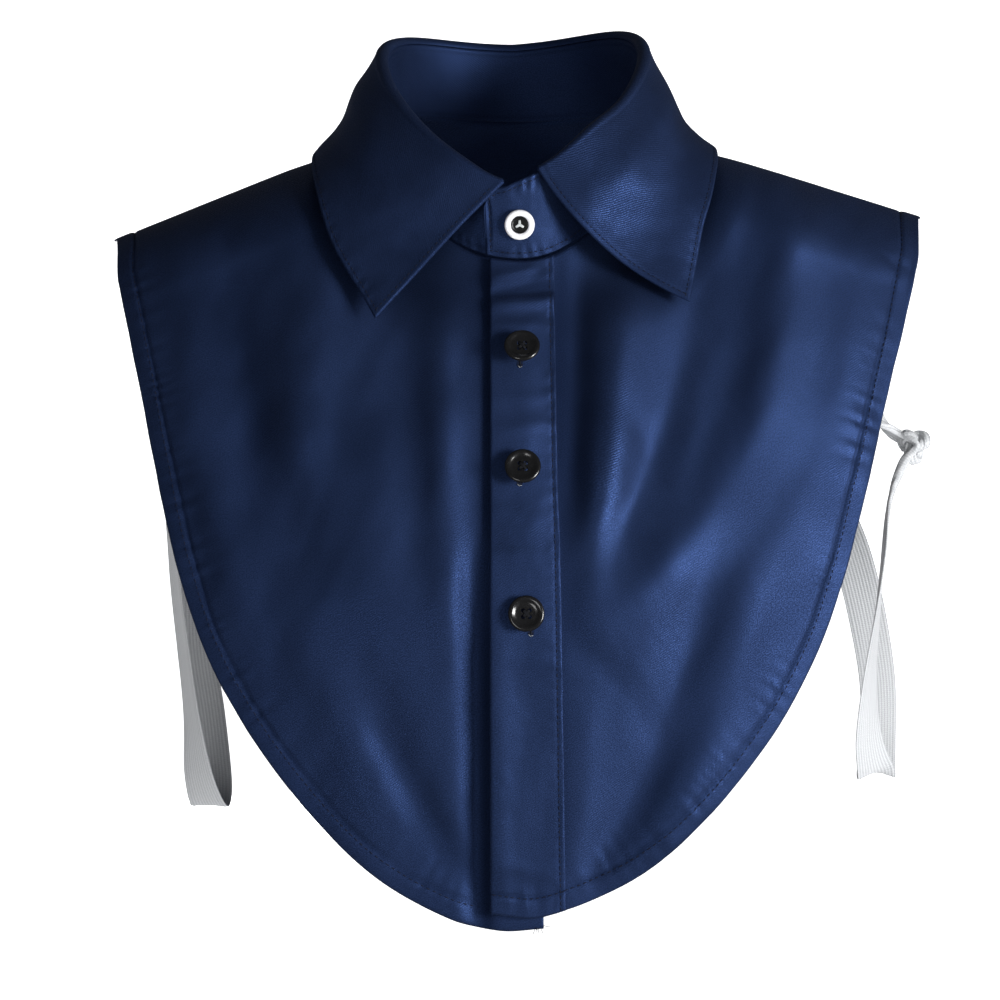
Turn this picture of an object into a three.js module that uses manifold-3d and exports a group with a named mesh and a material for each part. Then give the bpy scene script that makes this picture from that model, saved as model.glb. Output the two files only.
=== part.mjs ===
// A detachable shirt collar (dickey) in its worn form: two front bibs that button at the
// centre, a back bib, a collar stand, a pointed collar leaf, four buttons and two elastic
// side straps. Millimetres, +Z up, +X to the wearer's left, -Y to the front. The origin is
// the middle of the neckline seam, where the collar sits round the neck.
import * as THREE from "three";
import { mergeVertices } from "three/addons/utils/BufferGeometryUtils.js";
import Module from "manifold-3d";

const wasm = await Module();
wasm.setup();

// Driving dimensions
const CLOTH = 1.2;
const STAND_WALL = 1.6;
const LEAF_WALL = 1.5;
const GAP = 0.4;
const HEM = 8.5;
const HEM_EXTRA = 0.9;
const HEM_STEP = 0.3;
const HEM_THINS = { from: 16, over: 12 };
const OVERLAP_LIFT = 2.5;
const OVER_EDGE_X = -11.8;
const UNDER_EDGE_X = 11;
const PLACKET = { top: 27, bottom: 32, ribs: 3 };
const TUCK = 1.4;
const SHOULDER_SEAM = 1.3;
const SEAM_DEGREES = { front: 94.2, back: 95.8 };
const EDGE_LIFT = { height: 2.2, width: 9, z: -262, run: 62 };
const OVERLAP_FADE = { from: 12, over: 50, end: 70 };
const FRONT_FADE = { from: 14, over: 50 };
const NECK_FADE = 45;
const STRAP_WIDTH = 18;
const STRAP_WALL = 1.2;
const STRAP_CLEAR = 2.3;
const STRAP_STEPS = 48;
const STRAP_BUNDLE = 2.2;

// The neckline seam, a tilted ring, and the top edge of the stand above it.
const NECK = { halfWidth: 62, halfDepth: 62, middleY: -4, rise: 38.25, dip: 2.75, sideZ: 20 };
const NECK_KICK = { height: 4, degrees: 34, width: 15 };
const STAND = { taper: 4.5, forward: 7, shorter: 2, aside: -2, tilt: 0.03, cornerDrop: 15, cornerRun: 14 };
const STAND_ENDS = { under: 8, over: -12.5 };
const STAND_HEIGHT = [
  { degrees: -180, height: 30.5 },
  { degrees: -120, height: 33 },
  { degrees: -90, height: 35.5 },
  { degrees: -62, height: 37.5 },
  { degrees: -40, height: 38 },
  { degrees: -21, height: 36.3 },
  { degrees: -10, height: 33.7 },
  { degrees: -3, height: 32 },
  { degrees: 3, height: 34 },
  { degrees: 10, height: 35.8 },
  { degrees: 21, height: 37.2 },
  { degrees: 40, height: 37.5 },
  { degrees: 62, height: 36.5 },
  { degrees: 90, height: 34.5 },
  { degrees: 120, height: 33 },
  { degrees: 180, height: 30.5 },
];

// The torso that the cloth lies on: a shoulder ridge, rounded over into front and back.
const SHOULDER = { slope: 0.365, tilt: 0.045, crown: 30, crownWidth: 40, round: 38, arc: 72 };
const RIDGE = { soft: 30, tiltWidth: 60, y: 4, back: 0.05 };
const TORSO_POWER = 2.4;
const TORSO_REACH = 0.985;
const FRONT_DEPTH = [
  { z: 60, depth: 50 },
  { z: -41, depth: 66 },
  { z: -80, depth: 80 },
  { z: -125, depth: 94 },
  { z: -182, depth: 105 },
  { z: -250, depth: 103 },
  { z: -340, depth: 96 },
];
const BACK_DEPTH = [
  { z: 60, depth: 48 },
  { z: 20, depth: 60 },
  { z: -30, depth: 74 },
  { z: -110, depth: 84 },
  { z: -200, depth: 80 },
  { z: -310, depth: 74 },
];
const HALF_WIDTH = [
  { z: 60, width: 206 },
  { z: -60, width: 205 },
  { z: -180, width: 198 },
  { z: -340, width: 186 },
];

// Outlines seen from the front, from the centre edge round to the shoulder tip.
const LEFT_OUTLINE = [
  { x: -11.8, z: -324.5 },
  { x: 10, z: -326 },
  { x: 49, z: -310.5 },
  { x: 80, z: -285 },
  { x: 108.2, z: -251 },
  { x: 127.7, z: -217 },
  { x: 141.2, z: -182 },
  { x: 151.2, z: -147 },
  { x: 162.7, z: -102.5 },
  { x: 175.2, z: -57 },
  { x: 185.2, z: -18.5 },
];
const RIGHT_OUTLINE = [
  { x: 11, z: -331.5 },
  { x: -7.5, z: -332.5 },
  { x: -29, z: -327.5 },
  { x: -60, z: -310.5 },
  { x: -87.3, z: -285 },
  { x: -113.8, z: -251.5 },
  { x: -133.8, z: -217 },
  { x: -146.8, z: -182 },
  { x: -155.8, z: -147 },
  { x: -165.8, z: -102.5 },
  { x: -176.8, z: -57 },
  { x: -184.8, z: -28.5 },
];
const BACK_OUTLINE = [
  { x: 0, z: -300 },
  { x: 34, z: -294 },
  { x: 66, z: -276 },
  { x: 95, z: -248 },
  { x: 116, z: -215 },
  { x: 132, z: -180 },
  { x: 144, z: -143 },
  { x: 157, z: -100 },
  { x: 172, z: -57 },
  { x: 184, z: -20 },
];
const BACK_TIP = { x: 184, lower: 10 };

// Soft folds of the front: crests are positive, valleys negative, lengths seen from the front.
// Each fold dies out beyond its two ends.
const FOLD_ENDS = { beyond: 0.3, over: 0.45 };
const FOLDS = [
  { name: "valley by the placket", x0: 27, z0: -50, x1: 24, z1: -150, bow: 0, width: 7, height: -2.6 },
  { name: "crest by the placket", x0: 47, z0: -56, x1: 32, z1: -180, bow: 0, width: 10, height: 4 },
  { name: "valley to the collar point", x0: 82, z0: -40, x1: 38, z1: -165, bow: 6, width: 10, height: -3.4 },
  { name: "long crest from the shoulder", x0: 122, z0: -14, x1: 52, z1: -190, bow: 18, width: 14, height: 5 },
  { name: "low left crest", x0: 106, z0: -184, x1: 56, z1: -300, bow: 6, width: 13, height: 3.6 },
  { name: "low left valley", x0: 78, z0: -190, x1: 38, z1: -300, bow: 4, width: 11, height: -3 },
  { name: "right crest by the opening", x0: -34, z0: -70, x1: -30, z1: -195, bow: 0, width: 9, height: 2.6 },
  { name: "right crest under the collar", x0: -79, z0: -36, x1: -100, z1: -128, bow: 0, width: 16, height: 4 },
  { name: "right side valley", x0: -112, z0: -112, x1: -88, z1: -176, bow: 0, width: 15, height: -3.4 },
  { name: "low right valley", x0: -62, z0: -228, x1: -34, z1: -300, bow: 0, width: 11, height: -2.6 },
  { name: "pocket behind the placket", x0: -19, z0: -190, x1: -17, z1: -318, bow: 0, width: 6, height: -3.4 },
];

// Stations of the collar leaf: the angle of the fold on the neck ring, then the outer edge
// as its place across, its drop from the shoulder ridge (negative behind) and its lift off
// the cloth. bow is how far the way down to the edge sags.
const LEFT_LEAF = [
  { fold: 10, x: 72, drop: 115.5, lift: 8, bow: 15 },
  { fold: 34, x: 79, drop: 84, lift: 5, bow: 7 },
  { fold: 60, x: 86, drop: 55, lift: 2.5, bow: 8 },
  { fold: 86, x: 90, drop: 16, lift: 1, bow: 10 },
  { fold: 110, x: 85, drop: -26, lift: 2, bow: 8 },
  { fold: 142, x: 56, drop: -50, lift: 4, bow: 0 },
  { fold: 180, x: 0, drop: -64, lift: 5, bow: 0 },
];
const RIGHT_LEAF = [
  { fold: -4, x: -62, drop: 128, lift: 7, bow: 0 },
  { fold: -28, x: -78, drop: 92, lift: 5, bow: 2 },
  { fold: -56, x: -87, drop: 60, lift: 2.5, bow: 5 },
  { fold: -84, x: -92, drop: 18, lift: 1, bow: 5 },
  { fold: -110, x: -86, drop: -26, lift: 2, bow: 3 },
  { fold: -142, x: -57, drop: -50, lift: 4, bow: 0 },
  { fold: -180, x: 0, drop: -64, lift: 5, bow: 0 },
];
const LEAF_ROLL = { radius: 2.4, endRadius: 1.2, from: 4, over: 20 };
const LEAF_BULGE = 1.5;
const LEAF_FOOT = 0.4;
const LEAF_SAG = 0.7;
const LEAF_PROBE = 2;
const LEAF_DENT = {
  full: { height: 1.7, at: 0.3, width: 0.16 },
  hollow: { height: -1.6, at: 0.7, width: 0.17 },
};

// The elastic straps, from the front edge down round the loop to the back edge. turn is
// the compass angle of the band's width, and gather draws the band in towards a bundle. A
// row with a side lies on the inside of the front (1) or back (-1) bib, which gives its y.
const RIGHT_STRAP = [
  { x: -153.5, z: -104, side: 1, gather: 0 },
  { x: -152.5, z: -115, side: 1, gather: 0 },
  { x: -151.5, z: -127, side: 1, gather: 0 },
  { x: -154, y: -53, z: -154, turn: 112, gather: 0 },
  { x: -152, y: -46, z: -184, turn: 110, gather: 0 },
  { x: -149.5, y: -38, z: -213, turn: 112, gather: 0 },
  { x: -147, y: -28, z: -246, turn: 118, gather: 0 },
  { x: -145, y: -15, z: -272, turn: 138, gather: 0 },
  { x: -141.5, y: 0, z: -287, turn: 160, gather: 0 },
  { x: -141, y: 13, z: -278, turn: 168, gather: 0 },
  { x: -145, y: 24, z: -248, turn: 172, gather: 0 },
  { x: -151, y: 34, z: -212, turn: 178, gather: 0 },
  { x: -151, y: 43, z: -168, turn: 195, gather: 0 },
  { x: -145, z: -132, side: -1, gather: 0 },
  { x: -142, z: -119, side: -1, gather: 0 },
  { x: -139, z: -106, side: -1, gather: 0 },
];
const LEFT_STRAP = [
  { x: 148, z: -92, side: 1, gather: 0 },
  { x: 154, z: -99, side: 1, gather: 0.15 },
  { x: 157, z: -107, side: 1, gather: 0.6 },
  { x: 167, y: -49, z: -117, turn: 120, gather: 0.8 },
  { x: 176, y: -51, z: -123, turn: 100, gather: 0.5 },
  { x: 171, y: -53, z: -131, turn: 80, gather: 0.85 },
  { x: 166, y: -49, z: -146, turn: 84, gather: 0.25 },
  { x: 163.5, y: -44, z: -168, turn: 88, gather: 0 },
  { x: 161.5, y: -36, z: -197, turn: 78, gather: 0 },
  { x: 159.5, y: -28, z: -226, turn: 66, gather: 0 },
  { x: 160, y: -16, z: -254, turn: 50, gather: 0 },
  { x: 165, y: 0, z: -272, turn: 34, gather: 0 },
  { x: 168, y: 14, z: -260, turn: 24, gather: 0 },
  { x: 168, y: 26, z: -224, turn: 14, gather: 0 },
  { x: 158, y: 39, z: -172, turn: -8, gather: 0 },
  { x: 142, z: -132, side: -1, gather: 0 },
  { x: 139, z: -118, side: -1, gather: 0 },
  { x: 136, z: -104, side: -1, gather: 0 },
];
const KNOT = { at: 0.142, spread: 0.02, swell: 4.5, wide: 0.35, thick: 0.45 };

// Buttons: the middle's place from the front, the tilt of the face upwards, and the size.
const BUTTON = { radius: 7.8, height: 2.6, holeRadius: 0.9, holeRing: 1.9, clear: 0.7 };
// The half section of a black button and of the collar button's rim, in shares of the radius
// and the height; ring marks the edge of the rim's opening.
const BUTTON_SECTION = [
  { across: 0, up: 0 },
  { across: 0.72, up: 0 },
  { across: 1, up: 0.5 },
  { across: 0.9, up: 1 },
  { across: 0.72, up: 1 },
  { across: 0.54, up: 0.66 },
  { across: 0, up: 0.62 },
];
const RIM_SECTION = [
  { ring: 0, up: 0 },
  { across: 0.8, up: 0 },
  { across: 1, up: 0.5 },
  { across: 0.94, up: 0.85 },
  { across: 0.8, up: 1 },
  { ring: 0.5, up: 1 },
  { ring: 0, up: 0.8 },
  { ring: 0, up: 0 },
];
const PLACKET_BUTTONS = [
  { name: "placket_button_1", x: 1.7, z: -81, tilt: 30, reach: 7 },
  { name: "placket_button_2", x: 1.9, z: -133, tilt: 22, reach: 6 },
  { name: "placket_button_3", x: 3.4, z: -195.5, tilt: 7, reach: 4 },
];
const COLLAR_BUTTON = {
  x: 0.8,
  z: -26.5,
  tilt: -8,
  share: 0.43,
  radius: 6.6,
  ring: 3.9,
  height: 2.4,
  centreUp: 0.6,
  holeRing: 1.55,
  reach: 1.5,
};
const BUTTONHOLE = { width: 1.9, length: 17, depth: 14, below: 2 };
const STAND_HOLE = { wider: 0.7, deeper: 0.8 };
const THREAD = { shank: 0.6, shankWide: 4.6, pin: 0.5, disc: 0.6, bar: 0.8 };

const FABRIC = new THREE.MeshStandardMaterial({ color: 0x16254f, roughness: 0.45, metalness: 0 });
const FABRIC_TOP = new THREE.MeshStandardMaterial({ color: 0x1a2b5a, roughness: 0.42, metalness: 0 });
const ELASTIC = new THREE.MeshStandardMaterial({ color: 0xe9eaea, roughness: 0.8, metalness: 0 });
const BLACK_PLASTIC = new THREE.MeshStandardMaterial({ color: 0x0c0d0c, roughness: 0.2, metalness: 0 });
const WHITE_PLASTIC = new THREE.MeshStandardMaterial({ color: 0xdcdce0, roughness: 0.3, metalness: 0 });
const THREAD_BLACK = new THREE.MeshStandardMaterial({ color: 0x101218, roughness: 0.9, metalness: 0 });
const THREAD_GREY = new THREE.MeshStandardMaterial({ color: 0xb9bcbc, roughness: 0.9, metalness: 0 });

const radians = THREE.MathUtils.degToRad;
const mix = THREE.MathUtils.lerp;
const clamp = THREE.MathUtils.clamp;

function ease(t) {
  const s = clamp(t, 0, 1);
  return s * s * (3 - 2 * s);
}

// The value of one column at a place along another column, by a smooth curve through the rows.
function column(rows, along, key, at) {
  const up = rows[rows.length - 1][along] > rows[0][along] ? 1 : -1;
  const t = clamp(at * up, rows[0][along] * up, rows[rows.length - 1][along] * up) * up;
  let i = 0;
  while (i < rows.length - 2 && (t - rows[i + 1][along]) * up > 0) i++;
  const slope = (k) => {
    const a = rows[Math.max(k - 1, 0)];
    const b = rows[Math.min(k + 1, rows.length - 1)];
    return (b[key] - a[key]) / (b[along] - a[along]);
  };
  const a = rows[i];
  const b = rows[i + 1];
  const run = b[along] - a[along];
  const s = (t - a[along]) / run;
  const s2 = s * s;
  const s3 = s2 * s;
  return (
    (2 * s3 - 3 * s2 + 1) * a[key] + (s3 - 2 * s2 + s) * run * slope(i) +
    (3 * s2 - 2 * s3) * b[key] + (s3 - s2) * run * slope(i + 1)
  );
}

// The rows again with a column named share: how far along the outline each one lies, 0 to 1.
function withShare(rows) {
  let sum = 0;
  const sums = rows.map((row, i) => {
    if (i) sum += Math.hypot(row.x - rows[i - 1].x, row.z - rows[i - 1].z);
    return sum;
  });
  return rows.map((row, i) => ({ ...row, share: sums[i] / sum }));
}

// The share of the outline at which it first reaches a place across.
function shareAtX(rows, x) {
  const i = rows.findIndex((row, k) => k > 0 && (row.x - x) * (rows[k - 1].x - x) <= 0);
  const [a, b] = [rows[i - 1], rows[i]];
  return mix(a.share, b.share, (x - a.x) / (b.x - a.x));
}

function ridgeZ(x) {
  const out = Math.hypot(x, RIDGE.soft) - Math.hypot(NECK.halfWidth, RIDGE.soft);
  const slope = SHOULDER.slope - SHOULDER.tilt * Math.tanh(x / RIDGE.tiltWidth);
  return NECK.sideZ - slope * out + SHOULDER.crown * Math.exp(-((x / SHOULDER.crownWidth) ** 2));
}

function ridgeY(x) {
  return RIDGE.y - RIDGE.back * Math.max(0, Math.abs(x) - NECK.halfWidth);
}

function foldHeight(x, z) {
  let sum = 0;
  for (const f of FOLDS) {
    const dx = f.x1 - f.x0;
    const dz = f.z1 - f.z0;
    const length = Math.hypot(dx, dz);
    const s = ((x - f.x0) * dx + (z - f.z0) * dz) / length ** 2;
    const { beyond, over } = FOLD_ENDS;
    if (s < -beyond || s > 1 + beyond) continue;
    const aside = ((x - f.x0) * -dz + (z - f.z0) * dx) / length - f.bow * 4 * s * (1 - s);
    const fade = ease((s + beyond) / over) * ease((1 + beyond - s) / over);
    sum += f.height * fade * Math.exp(-((aside / f.width) ** 2));
  }
  return sum;
}

// A point of the cloth on the torso: x across, drop down the front (or, if negative, the back).
function onTorso(x, drop) {
  const down = Math.abs(drop);
  const turn = Math.min(down / SHOULDER.arc, 1) * (Math.PI / 2);
  const z = ridgeZ(x) - SHOULDER.round * (1 - Math.cos(turn)) - Math.max(0, down - SHOULDER.arc);
  const width = column(HALF_WIDTH, "z", "width", z);
  const section = (1 - Math.min(Math.abs(x / width), TORSO_REACH) ** TORSO_POWER) ** (1 / TORSO_POWER);
  const front = drop >= 0;
  const depth = column(front ? FRONT_DEPTH : BACK_DEPTH, "z", "depth", z) * section;
  const plane = front ? -depth - foldHeight(x, z) : depth;
  return new THREE.Vector3(x, ridgeY(x) + (plane - ridgeY(x)) * Math.sin(turn), z);
}

// The drop down the cloth of a point seen from the front at x and z.
function dropAt(x, z) {
  const below = Math.max(0, ridgeZ(x) - z);
  if (below >= SHOULDER.round) return SHOULDER.arc + below - SHOULDER.round;
  return (SHOULDER.arc * Math.acos(1 - below / SHOULDER.round)) / (Math.PI / 2);
}

// How far the wearer's left end of the stand rides over the other one.
function overlapLift(degrees) {
  if (degrees < STAND_ENDS.over - 1 || degrees > OVERLAP_FADE.end) return 0;
  return OVERLAP_LIFT * (1 - ease((degrees - OVERLAP_FADE.from) / OVERLAP_FADE.over));
}

// How far the top bib stands off the bib below it, seen from the front at x and z.
function frontLift(x, z) {
  const edge = EDGE_LIFT.height * Math.exp(-(((x - OVER_EDGE_X) / EDGE_LIFT.width) ** 2));
  const along = Math.exp(-(((z - EDGE_LIFT.z) / EDGE_LIFT.run) ** 4));
  return OVERLAP_LIFT * (1 - ease((x - FRONT_FADE.from) / FRONT_FADE.over)) + edge * along;
}

function neckX(degrees) {
  return NECK.halfWidth * Math.sin(radians(degrees));
}

function neckDegrees(x) {
  return THREE.MathUtils.radToDeg(Math.asin(x / NECK.halfWidth));
}

// A point of the neckline seam by its angle from the centre front; lift moves it outwards.
function neckline(degrees, lift = 0) {
  const a = radians(degrees);
  const c = Math.cos(a);
  const kick = NECK_KICK.height * Math.exp(-(((degrees - NECK_KICK.degrees) / NECK_KICK.width) ** 2));
  return new THREE.Vector3(
    (NECK.halfWidth + lift) * Math.sin(a),
    NECK.middleY - (NECK.halfDepth + lift) * c,
    NECK.sideZ * Math.sin(a) ** 2 - NECK.rise * c - NECK.dip * c * c + kick,
  );
}

function standTop(degrees, lift = 0) {
  const a = radians(degrees);
  const x = (NECK.halfWidth - STAND.taper + lift) * Math.sin(a) + STAND.aside;
  const y = NECK.middleY - STAND.forward - (NECK.halfDepth - STAND.shorter + lift) * Math.cos(a);
  const height = column(STAND_HEIGHT, "degrees", "height", degrees) + STAND.tilt * x;
  return new THREE.Vector3(x, y, neckline(degrees).z + height);
}

// A closed solid from a grid of points: the grid moved out along its normals, and in.
// flip says which way is out, and the two thicknesses may change over the grid.
function shell(grid, outer, inner, flip = false) {
  const rows = grid.length;
  const cols = grid[0].length;
  const normals = grid.map((row) => row.map(() => new THREE.Vector3()));
  const face = new THREE.Vector3();
  for (let i = 0; i + 1 < rows; i++)
    for (let j = 0; j + 1 < cols; j++) {
      const d1 = grid[i + 1][j + 1].clone().sub(grid[i][j]);
      const d2 = grid[i][j + 1].clone().sub(grid[i + 1][j]);
      face.crossVectors(d1, d2).multiplyScalar(flip ? -1 : 1);
      for (const [a, b] of [[i, j], [i + 1, j], [i, j + 1], [i + 1, j + 1]]) normals[a][b].add(face);
    }
  const positions = [];
  for (const side of [outer, inner])
    grid.forEach((row, i) =>
      row.forEach((point, j) => {
        const moved = point.clone().addScaledVector(normals[i][j].clone().normalize(), side(i, j));
        positions.push(moved.x, moved.y, moved.z);
      }),
    );
  const at = (layer, i, j) => layer * rows * cols + i * cols + j;
  const index = [];
  const quad = (a, b, c, d) => index.push(a, b, c, a, c, d);
  for (let i = 0; i + 1 < rows; i++)
    for (let j = 0; j + 1 < cols; j++) {
      quad(at(0, i, j), at(0, i + 1, j), at(0, i + 1, j + 1), at(0, i, j + 1));
      quad(at(1, i, j), at(1, i, j + 1), at(1, i + 1, j + 1), at(1, i + 1, j));
    }
  for (let i = 0; i + 1 < rows; i++) {
    quad(at(0, i, 0), at(1, i, 0), at(1, i + 1, 0), at(0, i + 1, 0));
    quad(at(0, i, cols - 1), at(0, i + 1, cols - 1), at(1, i + 1, cols - 1), at(1, i, cols - 1));
  }
  for (let j = 0; j + 1 < cols; j++) {
    quad(at(0, 0, j), at(0, 0, j + 1), at(1, 0, j + 1), at(1, 0, j));
    quad(at(0, rows - 1, j), at(1, rows - 1, j), at(1, rows - 1, j + 1), at(0, rows - 1, j + 1));
  }
  const geometry = new THREE.BufferGeometry();
  geometry.setAttribute("position", new THREE.Float32BufferAttribute(positions, 3));
  geometry.setIndex(index);
  return outward(geometry);
}

// The geometry with its faces turned to point out.
function outward(geometry) {
  const p = geometry.attributes.position;
  const index = geometry.index.array;
  const [a, b, c] = [new THREE.Vector3(), new THREE.Vector3(), new THREE.Vector3()];
  let volume = 0;
  for (let i = 0; i < index.length; i += 3) {
    a.fromBufferAttribute(p, index[i]);
    b.fromBufferAttribute(p, index[i + 1]);
    c.fromBufferAttribute(p, index[i + 2]);
    volume += a.dot(b.cross(c));
  }
  if (volume < 0)
    for (let i = 0; i < index.length; i += 3) [index[i + 1], index[i + 2]] = [index[i + 2], index[i + 1]];
  return geometry;
}

function toSolid(geometry) {
  const bare = new THREE.BufferGeometry();
  bare.setAttribute("position", geometry.attributes.position);
  if (geometry.index) bare.setIndex(geometry.index);
  const merged = mergeVertices(bare, 1e-3);
  return new wasm.Manifold(
    new wasm.Mesh({
      numProp: 3,
      vertProperties: new Float32Array(merged.attributes.position.array),
      triVerts: new Uint32Array(merged.index.array),
    }),
  );
}

function toGeometry(solid) {
  const mesh = solid.getMesh();
  const geometry = new THREE.BufferGeometry();
  geometry.setAttribute("position", new THREE.Float32BufferAttribute(mesh.vertProperties, 3));
  geometry.setIndex(new THREE.BufferAttribute(mesh.triVerts, 1));
  return geometry;
}

function join(geometries) {
  return toGeometry(geometries.map(toSolid).reduce((a, b) => a.add(b)));
}

function cut(geometry, tools) {
  return toGeometry(tools.map(toSolid).reduce((a, b) => a.subtract(b), toSolid(geometry)));
}

function named(name, geometry, material) {
  const mesh = new THREE.Mesh(geometry, material);
  mesh.name = name;
  return mesh;
}

// One bib as a grid of ribs: straight ones under the placket, then ones that fan out from
// the neckline to the outer edge, the last of them along the shoulder seam.
function bibGrid({ from, to, outline, straight, ribs, steps, back, lift }) {
  const rows = withShare(outline);
  const fanned = straight ? shareAtX(rows, straight.end) : 0;
  const grid = [];
  for (let i = straight ? -straight.ribs : 0; i <= ribs; i++) {
    const u = Math.max(0, i / ribs);
    const k = Math.min(0, i / (straight ? straight.ribs : 1));
    const share = mix(fanned * (1 + k), 1, u);
    const degrees = i < 0 ? neckDegrees(mix(neckX(from), neckX(straight.from), -k)) : mix(from, to, u);
    const raised = lift ? overlapLift(degrees) : 0;
    const start = neckline(degrees, raised).add(new THREE.Vector3(0, 0, -TUCK));
    const endX = column(rows, "share", "x", share);
    const endZ = column(rows, "share", "z", share);
    const seam = SHOULDER_SEAM / 2;
    const side = back ? -1 : 1;
    const startDrop = side * Math.max(seam, i < ribs ? dropAt(start.x, start.z) : 0);
    const endDrop = side * Math.max(seam, i < ribs ? dropAt(endX, endZ) : 0);
    const fix = start.clone().sub(onTorso(start.x, startDrop));
    const length = Math.hypot(endX - start.x, endDrop - startDrop);
    const hem = 1 - HEM / length;
    const stops = [];
    for (let j = 0; j <= steps; j++) stops.push((hem * j) / steps);
    stops.push(hem + HEM_STEP / length, 1);
    grid.push(
      stops.map((v) => {
        const x = mix(start.x, endX, v);
        const drop = mix(startDrop, endDrop, v);
        const point = onTorso(x, drop);
        point.addScaledVector(fix, 1 - ease((v * length) / NECK_FADE));
        if (lift) point.y -= frontLift(point.x, point.z) * ease((v * length) / NECK_FADE);
        return point;
      }),
    );
  }
  return grid;
}

// The hem is turned to the inside, so the wall is thicker there, except under the placket.
function bibShell(grid, flip) {
  const cols = grid[0].length;
  const inner = (i, j) => {
    const aside = (Math.abs(grid[i][j].x) - HEM_THINS.from) / HEM_THINS.over;
    return -CLOTH / 2 - (j >= cols - 2 ? HEM_EXTRA * ease(aside) : 0);
  };
  return shell(grid, () => CLOTH / 2, inner, flip);
}

function leftBibGrid(ribs, steps) {
  const from = neckDegrees(OVER_EDGE_X + PLACKET.top);
  const end = OVER_EDGE_X + PLACKET.bottom;
  const straight = { ribs: PLACKET.ribs, from: neckDegrees(OVER_EDGE_X), end };
  const to = SEAM_DEGREES.front;
  return bibGrid({ from, to, outline: LEFT_OUTLINE, straight, ribs, steps, lift: true });
}

function rightBibGrid(ribs, steps) {
  const from = neckDegrees(OVER_EDGE_X);
  const straight = { ribs: PLACKET.ribs - 1, from: neckDegrees(UNDER_EDGE_X), end: OVER_EDGE_X };
  return bibGrid({ from, to: -SEAM_DEGREES.front, outline: RIGHT_OUTLINE, straight, ribs, steps });
}

function backBibGrid(ribs, steps) {
  const half = { outline: BACK_OUTLINE, ribs, steps, back: true, from: 180, to: SEAM_DEGREES.back };
  const left = bibGrid(half);
  const mirrored = BACK_OUTLINE.map(({ x, z }) => ({ x: -x, z: z - BACK_TIP.lower * (x / BACK_TIP.x) ** 2 }));
  const right = bibGrid({ ...half, outline: mirrored, from: -180, to: -SEAM_DEGREES.back });
  return [...right.slice(1).reverse(), ...left];
}

// The stand: one band round the neck whose wearer's left end laps over the other end.
function standGrid(steps, rise) {
  const sweep = 360 + STAND_ENDS.under - STAND_ENDS.over;
  const grid = [];
  for (let i = 0; i <= steps; i++) {
    const run = STAND_ENDS.under - (sweep * i) / steps;
    const degrees = run < -180 ? run + 360 : run;
    const lift = run < -180 ? overlapLift(degrees) : 0;
    const arc = radians(Math.min(STAND_ENDS.under - run, sweep - (STAND_ENDS.under - run)));
    const near = clamp((arc * NECK.halfWidth) / STAND.cornerRun, 0, 1);
    const drop = STAND.cornerDrop * (1 - Math.sqrt(1 - (1 - near) ** 2));
    const low = neckline(degrees, lift);
    const high = standTop(degrees, lift);
    high.z -= drop;
    const upright = [];
    for (let j = 0; j <= rise; j++) upright.push(low.clone().lerp(high, j / rise));
    grid.push(upright);
  }
  return grid;
}

// The collar leaf: it starts on the stand's top edge, rolls over and falls to its outer edge.
function leafGrid(steps, roll, fall) {
  const rows = [
    ...RIGHT_LEAF.map((row) => ({ ...row, at: -180 - row.fold })),
    ...LEFT_LEAF.map((row) => ({ ...row, at: 180 - row.fold })).reverse().slice(1),
  ];
  const first = rows[0].at;
  const last = rows[rows.length - 1].at;
  const grid = [];
  for (let i = 0; i <= steps; i++) {
    const at = mix(first, last, i / steps);
    const degrees = at < 0 ? -180 - at : 180 - at;
    const lift = degrees > 0 ? overlapLift(degrees) : 0;
    const a = radians(degrees);
    const out = new THREE.Vector3(Math.sin(a), -Math.cos(a), 0);
    const foot = standTop(degrees, lift);
    foot.z += GAP + LEAF_FOOT;
    const far = Math.min(at - first, last - at);
    const full = ease((far - LEAF_ROLL.from) / LEAF_ROLL.over);
    const radius = mix(LEAF_ROLL.endRadius, LEAF_ROLL.radius, full);
    const section = [foot];
    const middle = foot.clone().addScaledVector(out, radius);
    middle.z += LEAF_FOOT;
    for (let k = 0; k < roll; k++) {
      const turn = (Math.PI * k) / (roll - 1);
      const point = middle.clone().addScaledVector(out, -radius * Math.cos(turn));
      point.z += radius * Math.sin(turn);
      section.push(point);
    }
    const from = section[section.length - 1];
    const edge = leafEdge(rows, at);
    const bow = column(rows, "at", "bow", at);
    const bend = from.clone().lerp(edge, 0.5).addScaledVector(out, LEAF_BULGE);
    bend.z += LEAF_BULGE - bow * LEAF_SAG;
    bend.x -= Math.sign(edge.x) * bow * LEAF_SAG;
    for (let k = 1; k <= fall; k++) {
      const s = k / fall;
      const point = from.clone().lerp(bend, s).lerp(bend.clone().lerp(edge, s), s);
      point.addScaledVector(out, leafDent(s));
      section.push(point);
    }
    grid.push(section);
  }
  return grid;
}

// A point of the leaf's outer edge, held off the cloth below it.
function leafEdge(rows, at) {
  const x = column(rows, "at", "x", at);
  const drop = column(rows, "at", "drop", at);
  const lift = column(rows, "at", "lift", at);
  const point = onTorso(x, drop);
  const across = onTorso(x + LEAF_PROBE, drop).sub(onTorso(x - LEAF_PROBE, drop));
  const down = onTorso(x, drop + LEAF_PROBE).sub(onTorso(x, drop - LEAF_PROBE));
  const normal = across.cross(down).normalize();
  if (drop >= 0 ? normal.y > 0 && normal.z < 0.5 : normal.y < 0 && normal.z < 0.5) normal.negate();
  if (normal.z < -0.2) normal.negate();
  return point.addScaledVector(normal, lift + LEAF_WALL);
}

// The leaf is full below its roll and hollow towards its edge.
function leafDent(s) {
  const { full, hollow } = LEAF_DENT;
  const wave = ({ height, at, width }) => height * Math.exp(-(((s - at) / width) ** 2));
  return wave(full) + wave(hollow);
}

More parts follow.
